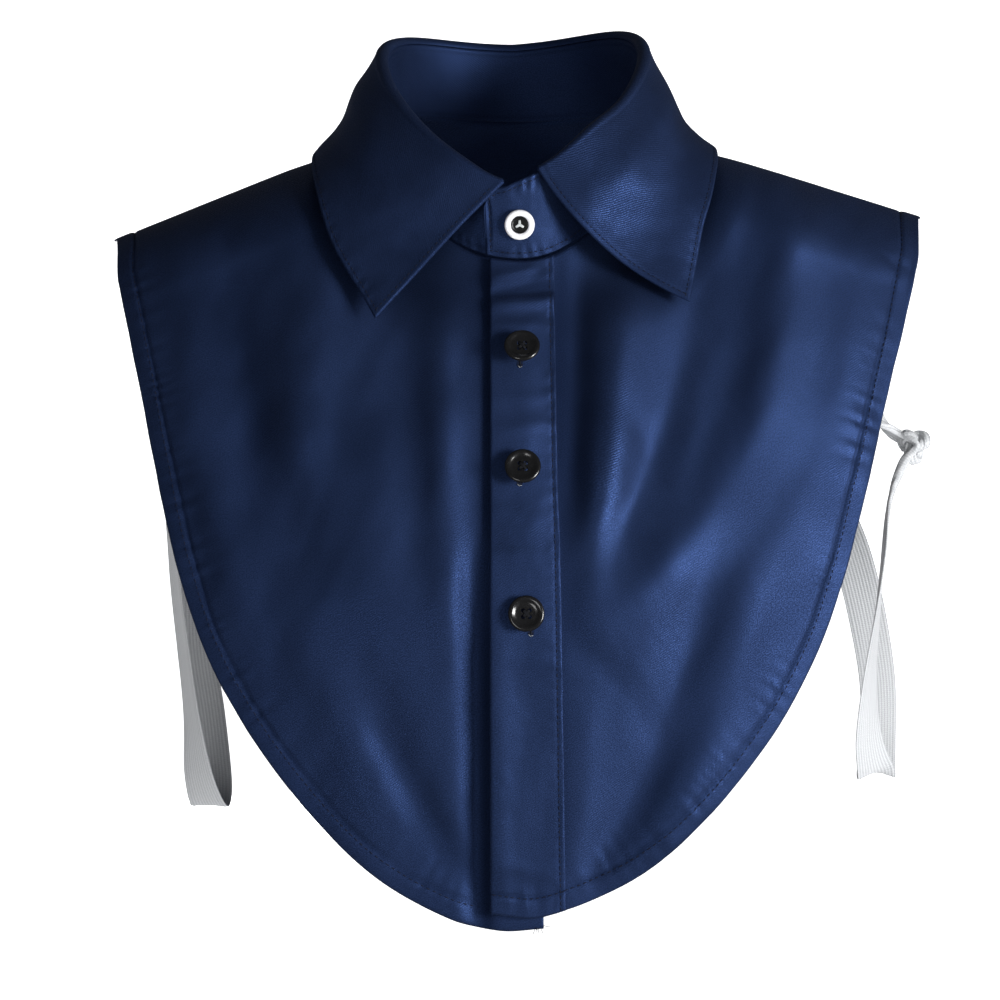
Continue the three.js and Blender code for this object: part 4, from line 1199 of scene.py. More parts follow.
@dataclass
class Placket:
    """The buttoned strip down the centre: a folded edge on one side, a sewn one on the other."""

    node: str = "placket_strip"
    across: int = 40
    stops: int = 230
    width: float = 30.0
    fold_out: float = 1.75
    sewn_out: float = 0.95
    least_out: float = 0.66
    back_out: float = 0.62
    row: float = 27.8
    hem: float = 8.6
    creases: tuple[Fold, ...] = (
        Fold(-10, -57, 19, -53, 0, 2.4, -1.8), Fold(-10, -63, 18, -59, 0, 3.2, 1.2),
        Fold(-10, -50, 6, -46, 0, 2.2, 0.7), Fold(4, -78, 18, -88, 1, 3.0, -0.7),
        Fold(-11, -72, 10, -70, 0, 2.5, 0.35),
    )
    low_creases: tuple = (-104, -118, -152, -170, -214, -232, -256, -282, -303)

    def build(self, shop: Workshop) -> bpy.types.Object:
        """The strip, its cross creases and its row of stitches.

        Args:
            shop: finishes and sewing.

        Returns:
            The strip's object.
        """
        u = np.linspace(-1, 0, self.across + 1)
        u = np.concatenate([[-1, -0.992], u[1:-1], [-0.012, 0]])
        place = (u + 1) * self.width
        v = np.linspace(0, 1, self.stops + 1)
        grid = LEFT_BIB.surface(u, v)
        x, z = grid[..., 0], grid[..., 2]
        n = normals_of(grid, np.array([0, -1.0, 0.2]))
        grid = grid + n * (sum(f.at(x, z) for f in LEFT_BIB.creases) * free_down(v))[..., None]
        crease = sum(f.at(x, z) for f in self.creases)
        for down in self.low_creases:
            tilt = 5 * math.sin(down)
            crease += Fold(-9, down, 15, down + tilt, 0, 3.4, 0.42 * math.cos(down * 1.7)).at(x, z)
        wave = 0.55 * ripple(x / 14.0, z / 22.0, 33) + 0.12 * ripple(x / 5.0, z / 6.0, 34)
        foot = np.linalg.norm(grid - grid[:, -1:], axis=2)
        gather = 0.8 * ripple(x / 5.5, z / 40.0, 36) + 0.3 * ripple(x / 2.8, z / 12.0, 37)
        crease += gather * bell((foot - self.hem) / 6.5) + 0.3 * (1 - ease((foot - 7.4) / 1.4))
        crease -= 0.55 * bell((foot - self.hem) / 0.9)
        tail = (place / self.width)[:, None]
        pull = 0.16 * np.sin(2 * np.pi * z / 7.3 + 2 * ripple(z / 30, x * 0, 35))
        pull = pull * bell((tail - 0.93) / 0.09)
        outer = mix(self.fold_out, self.sewn_out, ease(tail)) + crease + wave + pull
        outer = outer - 0.3 * bell((place[:, None] - self.row) / 0.8)
        rim = np.ones((len(u), 1))
        rim[0], rim[1], rim[-1], rim[-2] = 0.35, 0.75, 0.1, 0.6
        outer = self.least_out + (outer - self.least_out) * rim
        # Painted shade along the stitch row, in the crease valleys, along the folded edge and in the
        # hem's groove.
        dark = 0.55 * bell((place[:, None] - self.row) / 0.7) + 0.3 * np.clip(-crease, 0, 2)
        dark = dark + 0.35 * bell(place[:, None] - 0.4) + 0.5 * bell((foot - self.hem) / 0.7)
        piece, front = shell("placket_cloth", grid, (0, -1, 0.2), np.maximum(outer, self.least_out),
                             np.full(x.shape, self.back_out), np.stack([x, -z], -1), dark)
        shop.dress(piece, Slot.SATIN, SATIN, [self.node])
        sewn = [[np.interp(self.row, place, front[:, j, k]) for k in range(3)]
                for j in range(3, len(v) - 1)]
        hem = inset(front[2:-2], self.hem, 0.5, 0.5)
        shop.stitches("placket_stitches", [np.array(sewn), hem], 2.6, 1.9, 0.26)
        return piece


# The collar


END_STEPS = (0.0004, 0.0012, 0.9988, 0.9996)
COLLAR_STITCH = (2.5, 1.8, 0.25)


def rolled_rim(gap: np.ndarray) -> np.ndarray:
    """The wall's share of its full thickness at a distance from the edge."""
    return ease(gap / 0.7) * 0.75 + 0.25


@dataclass
class Stand:
    """The band round the neck, whose upper end laps over the lower one at the front."""

    node: str = "collar_stand"
    under: float = 8.0
    over: float = -12.5
    row: float = 2.4
    steps: int = 330
    rise: int = 26

    def build(self, shop: Workshop) -> bpy.types.Object:
        """The stand with its drawn-up border and stitches.

        Args:
            shop: finishes and sewing.

        Returns:
            The stand's object.
        """
        whole = 360 + self.under - self.over
        t = np.linspace(0, 1, self.steps + 1)
        t = np.unique(np.concatenate([t, END_STEPS, np.linspace(0.94, 1, 70)]))
        run = self.under - whole * t
        degrees = np.where(run < -180, run + 360, run)
        lift = np.where(run < -180, NECK.lap(degrees), 0.0)
        arc = np.radians(np.minimum(self.under - run, whole - (self.under - run))) * NECK.half
        near = np.clip(arc / 14, 0, 1)
        low, high = NECK.seam(degrees, lift), NECK.top(degrees, lift)
        low[:, 2] -= 1.9 * ease((np.abs(degrees) - 40) / 60)
        high[:, 2] -= 15 * (1 - np.sqrt(1 - (1 - near) ** 2))
        s = np.concatenate([[0, 0.008], np.linspace(0.03, 0.97, self.rise), [0.992, 1]])
        grid = mix(low[:, None], high[:, None], s[None, :, None])
        span = np.linalg.norm(high - low, axis=1)[:, None]
        top_gap = (1 - s)[None] * span
        low_gap = s[None] * span
        edge_gap = np.minimum(np.minimum(top_gap, low_gap + 0.4), arc[:, None])
        along = along_line(high)[:, None]
        beat = ripple(along / 20 + 0 * s, low_gap / 30, 51)
        pucker = np.sin(2 * np.pi * (along / 6.4 + beat * 1.6)) * bell((edge_gap - 2.2) / 3.2)
        soft = 0.55 * ripple(along / 13 + 0 * s, low_gap / 8, 52)
        soft = soft + 0.22 * ripple(along / 5 + 0 * s, low_gap / 4, 53)
        groove = -0.28 * bell((edge_gap - self.row) / 0.7)
        bulk = 0.24 * pucker + soft * ease(edge_gap / 5) + groove
        rim = rolled_rim(edge_gap)
        uv = np.stack([along + 0 * s, low_gap], -1)
        # Painted shade along the stitch row, in the wrinkles' hollows and along the rim; painted
        # shadow of the leaf on the stand's front towards +X.
        dark = 0.5 * bell((edge_gap - self.row) / 0.6)
        dark = dark + 0.35 * np.clip(-soft * ease(edge_gap / 5), 0, 1)
        dark = dark + 0.5 * ease((grid[..., 0] - 13) / 9) * (grid[..., 1] < -20)
        dark = dark + 0.7 * bell(edge_gap / 0.6)
        piece, front = shell("stand_cloth", grid, self._out(grid), (0.8 + bulk) * rim, -0.6 * rim,
                             uv, dark)
        shop.dress(piece, Slot.SATIN, SATIN, [self.node])
        shown = run < -318
        lines = self._rows(front[shown], low_gap[shown], top_gap[shown], arc[shown])
        shop.stitches("stand_stitches", lines, *COLLAR_STITCH)
        return piece

    def _rows(self, rows: np.ndarray, depth: np.ndarray, gaps: np.ndarray,
              ends: np.ndarray) -> list[np.ndarray]:
        """The stitch lines along the bottom, the top and the rounded end.

        Args:
            rows: points of the shown part of the outer face.
            depth: their distance from the bottom edge.
            gaps: their distance from the top edge.
            ends: each row's distance from the end.

        Returns:
            The three lines.
        """
        cut = ends > self.row
        bottom = [[np.interp(self.row, d, r[:, k]) for k in range(3)]
                  for r, d in zip(rows[cut], depth[cut])]
        top = [[np.interp(self.row, g[::-1], r[::-1, k]) for k in range(3)]
               for r, g in zip(rows[cut], gaps[cut])]
        column = []
        for j in range(rows.shape[1]):
            if self.row < depth[-1, j] and gaps[-12, j] > 1.0:
                column.append([np.interp(-self.row, -ends, rows[:, j, k]) for k in range(3)])
        return [np.array(bottom), np.array(top), np.array(column)]

    @staticmethod
    def _out(grid: np.ndarray) -> np.ndarray:
        """The outward direction at the middle of the band."""
        middle = grid[grid.shape[0] // 2, grid.shape[1] // 2]
        return np.array([middle[0], middle[1] + 4, 0.0])


LEFT_LEAF = ((10, 72, 115.5, 8, 15), (34, 79, 84, 5, 7), (60, 86, 55, 2.5, 8), (86, 90, 16, 1, 10),
             (110, 85, -26, 2, 8), (142, 56, -50, 4, 0), (180, 0, -64, 5, 0))
RIGHT_LEAF = ((-4, -62, 128, 7, 0), (-28, -78, 92, 5, 2), (-56, -87, 60, 2.5, 5), (-84, -92, 18, 1, 5),
              (-110, -86, -26, 2, 3), (-142, -57, -50, 4, 0), (-180, 0, -64, 5, 0))


@dataclass
class Leaf:
    """The turned-down collar leaf with its two points."""

    node: str = "collar_leaf"
    row: float = 2.6
    steps: int = 330
    roll: int = 14
    fall: int = 56

    def build(self, shop: Workshop) -> bpy.types.Object:
        """The leaf with its edge stitching.

        Args:
            shop: finishes and sewing.

        Returns:
            The leaf's object.
        """
        rows = [(-180 - r[0], *r[1:]) for r in RIGHT_LEAF]
        rows += [(180 - r[0], *r[1:]) for r in LEFT_LEAF[::-1]][1:]
        stations, *cut = (np.array(c, float) for c in zip(*rows))
        t = np.linspace(0, 1, self.steps + 1)
        t = np.unique(np.concatenate([t, END_STEPS, np.linspace(0, 0.1, 60), np.linspace(0.9, 1, 60)]))
        at = mix(stations[0], stations[-1], t)
        degrees = np.where(at < 0, -180 - at, 180 - at)
        lift = np.where(degrees > 0, NECK.lap(degrees), 0.0)
        a = np.radians(degrees)
        out = np.stack([np.sin(a), -np.cos(a), 0 * a], -1)
        up = np.array([0, 0, 1.0])
        foot = NECK.top(degrees, lift) + up * 0.15
        far = np.minimum(at - stations[0], stations[-1] - at)
        radius = mix(1.2, 2.4, ease((far - 4) / 20))[:, None, None]
        middle = foot + out * radius[:, 0] + up * 0.4
        turn = np.linspace(0, np.pi, self.roll)[None, :, None]
        arc = middle[:, None] + radius * (-np.cos(turn) * out[:, None] + np.sin(turn) * up)
        edge_x, edge_drop, edge_lift, bow = (curve(stations, c, at) for c in cut)
        edge = self._edge(edge_x, edge_drop, edge_lift)
        start = arc[:, -1]
        bend = mix(start, edge, 0.5) + out * 1.5
        bend[:, 2] += 1.5 - bow * 0.7
        bend[:, 0] -= np.sign(edge[:, 0]) * bow * 0.7
        s = np.linspace(0, 1, self.fall + 1)[1:]
        s = np.concatenate([s[:-1], [0.988, 0.996, 1.0]])
        w = s[None, :, None]
        fall = mix(mix(start[:, None], bend[:, None], w), mix(bend[:, None], edge[:, None], w), w)
        dent = 1.7 * bell((s - 0.3) / 0.16) - 1.6 * bell((s - 0.7) / 0.17)
        fall = fall + out[:, None] * dent[None, :, None]
        grid = np.concatenate([foot[:, None], arc, fall], 1)
        n = normals_of(grid, np.array([0, 1.0, 0.2]))
        away = np.cumsum(np.linalg.norm(np.diff(grid, axis=1, prepend=grid[:, :1]), axis=2), axis=1)
        outer_gap = away[:, -1:] - away
        end_first, _ = edge_distance(grid, grid[0])
        end_last, _ = edge_distance(grid, grid[-1])
        gap = np.minimum(outer_gap, np.minimum(end_first, end_last))
        along = along_line(edge)[:, None]
        x, z = grid[..., 0], grid[..., 2]
        soft = 0.9 * ripple(x / 30.0 + 3, z / 24.0, 61) + 0.28 * ripple(x / 9.0, z / 9.0, 62)
        soft = soft * ease(gap / 8) * ease((away - 8) / 14)
        pucker = 0.13 * np.sin(2 * np.pi * (along / 7.0 + 1.4 * ripple(along / 30, along * 0, 63)))
        edge_wave = pucker * bell((gap - 2.4) / 2.6) - 0.13 * bell((gap - self.row) / 0.8)
        rim = rolled_rim(gap)
        grid = grid + n * soft[..., None]
        uv = np.stack([along + 0 * away, away], -1)
        # Painted shade along the stitch row and along the rim.
        dark = 0.3 * bell((gap - self.row) / 0.6) + 0.8 * bell(gap / 0.6)
        piece, front = shell("leaf_cloth", grid, (0, 1, 0.2), (0.75 + edge_wave) * rim, -0.5 * rim,
                             uv, dark)
        shop.dress(piece, Slot.SATIN, SATIN, [self.node])
        first = self._beside(front, end_first, outer_gap)
        last = self._beside(front[::-1], end_last[::-1], outer_gap[::-1])
        shop.stitches("leaf_stitches", [inset(front, self.row, 2.4, 2.4), first, last], *COLLAR_STITCH)
        return piece

    @staticmethod
    def _edge(x: np.ndarray, drop: np.ndarray, lift: np.ndarray) -> np.ndarray:
        """The outer edge, held off the cloth below it."""
        point = TORSO.place(x, drop)
        across = TORSO.place(x + 2, drop) - TORSO.place(x - 2, drop)
        down = TORSO.place(x, drop + 2) - TORSO.place(x, drop - 2)
        n = np.cross(across, down)
        n /= np.linalg.norm(n, axis=1, keepdims=True)
        wrong = np.where(drop >= 0, n[:, 1] > 0, n[:, 1] < 0) & (n[:, 2] < 0.5)
        n[wrong] *= -1
        n[n[:, 2] < -0.2] *= -1
        return point + n * (lift + 1.5)[:, None]

    def _beside(self, front: np.ndarray, gap: np.ndarray, outer: np.ndarray) -> np.ndarray:
        """The stitch line beside the front edge that the first row lies on."""
        line = []
        for j in range(self.roll + 4, front.shape[1]):
            k = int(np.argmax(gap[:, j] > self.row))
            if outer[0, j] > 3.0 and k > 0:
                share = (self.row - gap[k - 1, j]) / (gap[k, j] - gap[k - 1, j])
                line.append(mix(front[k - 1, j], front[k, j], share))
        return np.array(line)


# Buttons


@dataclass
class Button:
    """A polished button and its thread."""

    node: str
    tilt: float
    radius: float = 7.8
    height: float = 2.6
    hole_ring: float = 1.9
    hole: float = 0.9
    holes: int = 4
    sides: int = 72

    def turn(self) -> np.ndarray:
        """The turn from lying flat to its place on the front."""
        return np.array(Matrix.Rotation(math.radians(90 - self.tilt), 3, "X"))

    def base(self) -> np.ndarray:
        """The middle of its back face, from the node's box."""
        low, high = (np.array(c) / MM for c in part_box(self.node))
        return (low + high) / 2 - self.turn() @ np.array([0, 0, self.height / 2])

    def set(self, points: np.ndarray) -> np.ndarray:
        """Points of the flat button moved to its place, in millimetres."""
        return np.asarray(points, float) @ self.turn().T + self.base()

    def turned(self, name: str, profile: Sequence[tuple[float, float]]) -> bpy.types.Object:
        """A turned solid from its half section, as an object in millimetres.

        Args:
            name: the piece's name.
            profile: rows of (radius, height), closed at the axis or as a ring.

        Returns:
            The object, in its flat position.
        """
        sides = self.sides
        verts, faces, rings = [], [], []
        for r, z in profile:
            if r < 1e-6:
                verts.append((0, 0, z))
                rings.append([len(verts) - 1] * sides)
                continue
            first = len(verts)
            for k in range(sides):
                a = 2 * math.pi * k / sides
                verts.append((r * math.cos(a), r * math.sin(a), z))
            rings.append(list(range(first, first + sides)))
        pairs = list(zip(rings[:-1], rings[1:]))
        if profile[0][0] > 0:
            pairs.append((rings[-1], rings[0]))
        for one, two in pairs:
            for k in range(sides):
                m = (k + 1) % sides
                face = list(dict.fromkeys([one[k], one[m], two[m], two[k]]))
                if len(face) > 2:
                    faces.append(face)
        mesh = bpy.data.meshes.new(name)
        mesh.from_pydata(verts, [], faces)
        made = bpy.data.objects.new(name, mesh)
        bpy.context.scene.collection.objects.link(made)
        return made

    def spots(self) -> list[tuple[float, float]]:
        """Where the holes are."""
        start = math.pi / 2 if self.holes == 3 else math.pi / 4
        turns = [start + 2 * math.pi * i / self.holes for i in range(self.holes)]
        return [(self.hole_ring * math.cos(a), self.hole_ring * math.sin(a)) for a in turns]

    def pierce(self, piece: bpy.types.Object) -> None:
        """Cuts the thread holes."""
        for x, y in self.spots():
            bpy.ops.mesh.primitive_cylinder_add(vertices=20, radius=self.hole, depth=14,
                                                location=(x, y, 0))
            tool = bpy.context.object
            cut = piece.modifiers.new("hole", "BOOLEAN")
            cut.operation, cut.object, cut.solver = "DIFFERENCE", tool, "EXACT"
            view = bpy.context.evaluated_depsgraph_get()
            mesh = bpy.data.meshes.new_from_object(piece.evaluated_get(view))
            piece.modifiers.remove(cut)
            piece.data = mesh
            bpy.data.objects.remove(tool)

    def seat(self, piece: bpy.types.Object) -> None:
        """Moves a flat piece's points to the button's place, and smooths it."""
        mesh = piece.data
        points = np.empty(len(mesh.vertices) * 3)
        mesh.vertices.foreach_get("co", points)
        mesh.vertices.foreach_set("co", (self.set(points.reshape(-1, 3)) * MM).ravel())
        mesh.update()
        mesh.shade_smooth()
        mesh.set_sharp_from_angle(angle=math.radians(38))

    def profile(self) -> list[tuple[float, float]]:
        """The half section: a rounded rim round a sunk middle."""
        r, h = self.radius, self.height
        rows = [(0, 0), (r * 0.70, 0), (r * 0.80, 0.06 * h), (r * 0.92, 0.22 * h)]
        for k in range(9):
            a = math.radians(-50 + 150 * k / 8)
            rows.append((r * 0.86 + r * 0.14 * math.cos(a), h * (0.58 + 0.42 * math.sin(a))))
        rows += [(r * 0.76, 0.94 * h), (r * 0.68, 0.80 * h), (r * 0.60, 0.69 * h),
                 (r * 0.50, 0.645 * h), (r * 0.35, 0.63 * h), (0, 0.62 * h)]
        return rows

    def thread(self, shop: Workshop, reach: float, finish: Thread, slot: Slot, top: float) -> None:
        """The strands through the holes, over the face and down to the cloth.

        Args:
            shop: finishes and sewing.
            reach: how far the thread goes in behind the button.
            finish: the thread.
            slot: the record's slot that it takes.
            top: how high the strands lie over the button's back face.
        """
        spots, lines = self.spots(), []
        pairs = [(0, 2), (1, 3)] if self.holes == 4 else [(0, None), (1, None), (2, None)]
        for one, two in pairs:
            a = np.array(spots[one])
            b = np.array(spots[two]) if two is not None else np.zeros(2)
            side = np.array([-(b - a)[1], (b - a)[0]]) / np.linalg.norm(b - a)
            for k in (-1, 0, 1):
                line = []
                for t in np.linspace(0, 1, 9):
                    rise = top + 0.28 * math.sin(math.pi * t) ** 0.5 + 0.1 * (one % 2)
                    spread = side * 0.27 * k * (1 + 0.3 * math.sin(3 * t))
                    line.append([*(mix(a, b, t) + spread), rise])
                foot = [*(a * 0.9), -0.3]
                tail = [*(b * 0.9), -0.3] if two is not None else [0, 0, top - 0.2]
                lines.append(self.set(np.array([foot, *line, tail])))
        for k in range(10):
            a = 2 * math.pi * k / 10
            rim = np.array([math.cos(a), math.sin(a)])
            shank = [[*(rim * 1.5), -0.05], [*(rim * 0.8), -0.5], [*(rim * 0.75), -reach]]
            lines.append(self.set(np.array(shank)))
        shop.strands(self.node + "_strands", lines, 0.2, finish, slot, [self.node + "_thread"])

    def build(self, shop: Workshop, reach: float) -> None:
        """The button and its thread."""
        piece = self.turned(self.node + "_disc", self.profile())
        self.pierce(piece)
        self.seat(piece)
        shop.dress(piece, Slot.BLACK, BLACK, [self.node])
        self.thread(shop, reach, BLACK_THREAD, Slot.DARK_THREAD, self.height * 0.62 + 0.15)


@dataclass
class CollarButton(Button):
    """The button at the neck: a white rim round a dark middle with three holes."""

    node: str = "collar_button_rim"
    tilt: float = -8.0
    radius: float = 6.6
    height: float = 2.4
    hole_ring: float = 1.9
    hole: float = 0.62
    holes: int = 3
    ring: float = 3.9

    def build(self, shop: Workshop, reach: float) -> None:
        """The rim, the middle and the light thread."""
        r, h, c = self.radius, self.height, self.ring
        rows = [(c, 0.1 * h), (c + 0.3, 0), (r * 0.75, 0), (r * 0.9, 0.12 * h)]
        for k in range(9):
            a = math.radians(-40 + 130 * k / 8)
            rows.append((r * 0.84 + r * 0.16 * math.cos(a), h * (0.52 + 0.42 * math.sin(a))))
        rows += [(r * 0.76, 0.955 * h), (c + 0.7, 0.90 * h), (c + 0.25, 0.84 * h), (c, 0.74 * h)]
        rim = self.turned("collar_button_ring", rows)
        self.seat(rim)
        shop.dress(rim, Slot.WHITE, WHITE, ["collar_button_rim"])
        e = c - 0.12
        middle = self.turned("collar_button_middle", [
            (0, 0.02), (e - 0.3, 0.02), (e, 0.2), (e, 0.52 * h), (e - 0.25, 0.58 * h),
            (e * 0.7, 0.60 * h), (0, 0.56 * h),
        ])
        self.pierce(middle)
        self.seat(middle)
        shop.dress(middle, Slot.BLACK, BLACK, ["collar_button_centre"])
        self.node = "collar_button"
        self.thread(shop, reach, GREY_THREAD, Slot.GREY_THREAD, self.height * 0.60 + 0.12)

    def base(self) -> np.ndarray:
        """The middle of its back face, from the rim's box."""
        low, high = (np.array(c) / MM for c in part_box("collar_button_rim"))
        return (low + high) / 2 - self.turn() @ np.array([0, 0, self.height / 2])


@dataclass
class Buttonholes:
    """The sewn ends of the buttonholes that show below the buttons."""

    slits: tuple = (
        ("placket_button_1", -0.8, -7.6), ("placket_button_2", -1.2, -6.9),
        ("placket_button_3", 2.0, -8.2),
    )

    def build(self, shop: Workshop, placket: np.ndarray) -> None:
        """A whipped loop of thread round each slit's end, a black strand along each slit as painted
        shade in the opening, and a light snagged strand.

        Args:
            shop: finishes and sewing.
            placket: points of the strip's outer face.
        """
        whip, slit, snag = [], [], []
        flat = placket.reshape(-1, 3)
        for node, dx, dz in self.slits:
            low, high = (np.array(c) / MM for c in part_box(node))
            x, z = (low[0] + high[0]) / 2 + dx, (low[2] + high[2]) / 2 + dz
            for k in range(15):
                a = math.pi * (k / 14)
                spot = (x + 0.45 * math.cos(a), z - 0.7 * math.sin(a) - 0.2)
                wide = (x + 1.25 * math.cos(a), z - 1.5 * math.sin(a) - 0.2)
                whip.append(np.array([self._on(flat, *spot, 0.1), self._on(flat, *wide, 0.12)]))
            for side in (-1, 1):
                for k in range(9):
                    up = z + 0.5 * k
                    whip.append(np.array([self._on(flat, x + side * 0.45, up, 0.1),
                                          self._on(flat, x + side * 1.25, up + 0.1, 0.12)]))
            # Painted shade: a black strand on the face stands for the shade inside the slit.
            slit.append(np.array([self._on(flat, x, z + 4.2, 0.1), self._on(flat, x, z - 0.6, 0.1)]))
            snag.append(np.array([self._on(flat, x - 0.9, z - 0.9, 0.25),
                                  self._on(flat, x - 0.2, z - 1.5, 0.3),
                                  self._on(flat, x + 0.9, z - 1.3, 0.25)]))
        shop.strands("buttonhole_whipping", whip, 0.14, NAVY_THREAD, Slot.DARK_THREAD)
        shop.strands("buttonhole_slit_shade", slit, 0.3, BLACK_THREAD, Slot.DARK_THREAD)
        shop.strands("buttonhole_snags", snag, 0.07, GREY_THREAD, Slot.GREY_THREAD)

    @staticmethod
    def _on(flat: np.ndarray, x: float, z: float, out: float) -> np.ndarray:
        """A point on the strip's face seen from the front, held a little off it."""
        near = flat[np.argsort((flat[:, 0] - x) ** 2 + (flat[:, 2] - z) ** 2)[:4]]
        return np.array([x, near[:, 1].min() - out, z])


# Straps


@dataclass
class Strap:
    """A knitted elastic band from the front edge round the arm to the back edge.

    Each row is x, y, z, the turn of its width, how gathered it is, and 1 or -1 where it is sewn
    to the front or the back, whose y and turn then come from the cloth.
    """

    node: str
    rows: tuple
    knot: Optional[float] = None
    width: float = 18.0
    wall: float = 1.1
    stand_off: float = 5.75
    steps: int = 300

    def sewn(self) -> np.ndarray:
        """The rows with the places and turns of the sewn ones worked out from the cloth."""
        made = []
        for x, y, z, turn, gather, side in self.rows:
            if side:
                across = np.array([x, x + 2.0])
                here, near = TORSO.place(across, side * TORSO.drop_at(across, np.full(2, float(z))))
                turn = math.degrees(math.atan2(near[1] - here[1], near[0] - here[0]))
                turn += 180 if x < 0 else 0
                y = float(here[1]) + side * self.stand_off
            made.append((x, y, z, turn, gather))
        return np.array(made, float)

    def build(self, shop: Workshop) -> bpy.types.Object:
        """The band, ribbed along its length, and its knot where it has one.

        Args:
            shop: finishes and sewing.

        Returns:
            The band's object.
        """
        rows = self.sewn()
        at = np.linspace(0, 1, len(rows))
        t = np.linspace(0, 1, self.steps + 1)
        path = np.stack([curve(at, rows[:, k], t) for k in range(3)], -1)
        turn = np.radians(curve(at, rows[:, 3], t))
        gather = np.clip(curve(at, rows[:, 4], t), 0, 1)
        wide = np.stack([np.cos(turn), np.sin(turn), 0 * turn], -1)

        def section(share: float) -> np.ndarray:
            """The band's outline, flat, or crumpled where it is gathered."""
            g = float(np.interp(share, t, gather))
            a = np.linspace(0, 2 * np.pi, 48, endpoint=False)
            half, thick = mix(self.width / 2, 2.9, g), mix(self.wall / 2, 2.3, g)
            x = np.sign(np.cos(a)) * np.abs(np.cos(a)) ** mix(0.55, 0.9, g) * half
            y = np.sign(np.sin(a)) * np.abs(np.sin(a)) ** mix(0.3, 0.9, g) * thick
            wave = 0.10 * np.cos(2 * np.pi * x / 1.9) * (1 - g) + g * 0.5 * np.sin(5 * a + 9 * share)
            curl = 0.5 * np.sin(share * 23 + 1.0) * (x / 9) ** 2 * (1 - g)
            return np.stack([x, y + np.sign(y) * wave + curl], -1)

        band = sweep(self.node + "_band", path, wide, section)
        shop.dress(band, Slot.ELASTIC, KNIT, [self.node])
        if self.knot is not None:
            self._tie(shop, path[int(self.knot * self.steps)])
        return band

    def _tie(self, shop: Workshop, middle: np.ndarray) -> None:
        """The knot as an interlaced bundle of loops."""
        a = np.linspace(0, 2 * np.pi, 120, endpoint=False)
        loop = np.stack([np.sin(a) + 1.6 * np.sin(2 * a), -0.9 * np.sin(3 * a),
                         np.cos(a) - 1.6 * np.cos(2 * a)], -1)
        path = middle + loop * np.array([2.0, 2.2, 2.6])
        wide = np.stack([np.cos(a), 0.4 * np.sin(a), np.sin(a)], -1)

        def section(share: float) -> np.ndarray:
            """A soft folded outline."""
            b = np.linspace(0, 2 * np.pi, 28, endpoint=False)
            swell = 1 + 0.12 * np.sin(5 * b + 14 * share)
            return np.stack([2.6 * np.cos(b) * swell, 1.9 * np.sin(b) * swell], -1)

        knot = sweep(self.node + "_knot", path, wide, section, closed=True)
        shop.dress(knot, Slot.ELASTIC, KNIT)


RIGHT_STRAP = Strap("side_strap_right", (
    (-153.5, 0, -104, 0, 0, 1), (-152.5, 0, -115, 0, 0, 1), (-151.5, 0, -127, 0, 0, 1),
    (-154, -53, -154, 112, 0, 0), (-152, -46, -184, 110, 0, 0), (-149.5, -38, -213, 112, 0, 0),
    (-147, -28, -246, 118, 0, 0), (-145, -15, -272, 138, 0, 0), (-141.5, 0, -287, 160, 0, 0),
    (-141, 13, -278, 168, 0, 0), (-145, 24, -248, 172, 0, 0), (-151, 34, -212, 178, 0, 0),
    (-151, 43, -168, 195, 0, 0), (-145, 0, -132, 0, 0, -1), (-142, 0, -119, 0, 0, -1),
    (-139, 0, -106, 0, 0, -1),
))
LEFT_STRAP = Strap("side_strap_left", (
    (148, 0, -92, 0, 0, 1), (154, 0, -99, 0, 0.15, 1), (157, 0, -107, 0, 0.6, 1),
    (167, -49, -117, 120, 0.8, 0), (176, -51, -123, 100, 0.5, 0), (171, -53, -131, 80, 0.85, 0),
    (166, -49, -146, 84, 0.25, 0), (163.5, -44, -168, 88, 0, 0), (161.5, -36, -197, 78, 0, 0),
    (159.5, -28, -226, 66, 0, 0), (160, -16, -254, 50, 0, 0), (165, 0, -272, 34, 0, 0),
    (168, 14, -260, 24, 0, 0), (168, 26, -224, 14, 0, 0), (158, 39, -172, -8, 0, 0),
    (142, 0, -132, 0, 0, -1), (139, 0, -118, 0, 0, -1), (136, 0, -104, 0, 0, -1),
), knot=0.235)


@dataclass
class LooseThreads:
    """The frayed ends at the lower corner of the under bib."""

    count: int = 7
    seed: int = 5

    def build(self, shop: Workshop, corner: np.ndarray) -> bpy.types.Object:
        """Short curled strands from the corner.

        Args:
            shop: finishes and sewing.
            corner: the lower corner of the under bib.

        Returns:
            The strands.
        """
        rng = np.random.default_rng(self.seed)
        lines = []
        for _ in range(self.count):
            start = corner + np.array([-rng.random() * 5, 0.1, 0.6 + rng.random() * 1.2])
            away = np.array([rng.random() * 3.8 - 1.0, -0.4 - rng.random(), -0.6 - rng.random() * 1.9])
            bend = rng.random(3) * 2.4 - 1.2
            t = np.linspace(0, 1, 8)[:, None]
            lines.append(start + away * t * 1.3 + bend * t * t)
        return shop.strands("loose_threads", lines, 0.11, NAVY_THREAD, Slot.DARK_THREAD)


# Studio


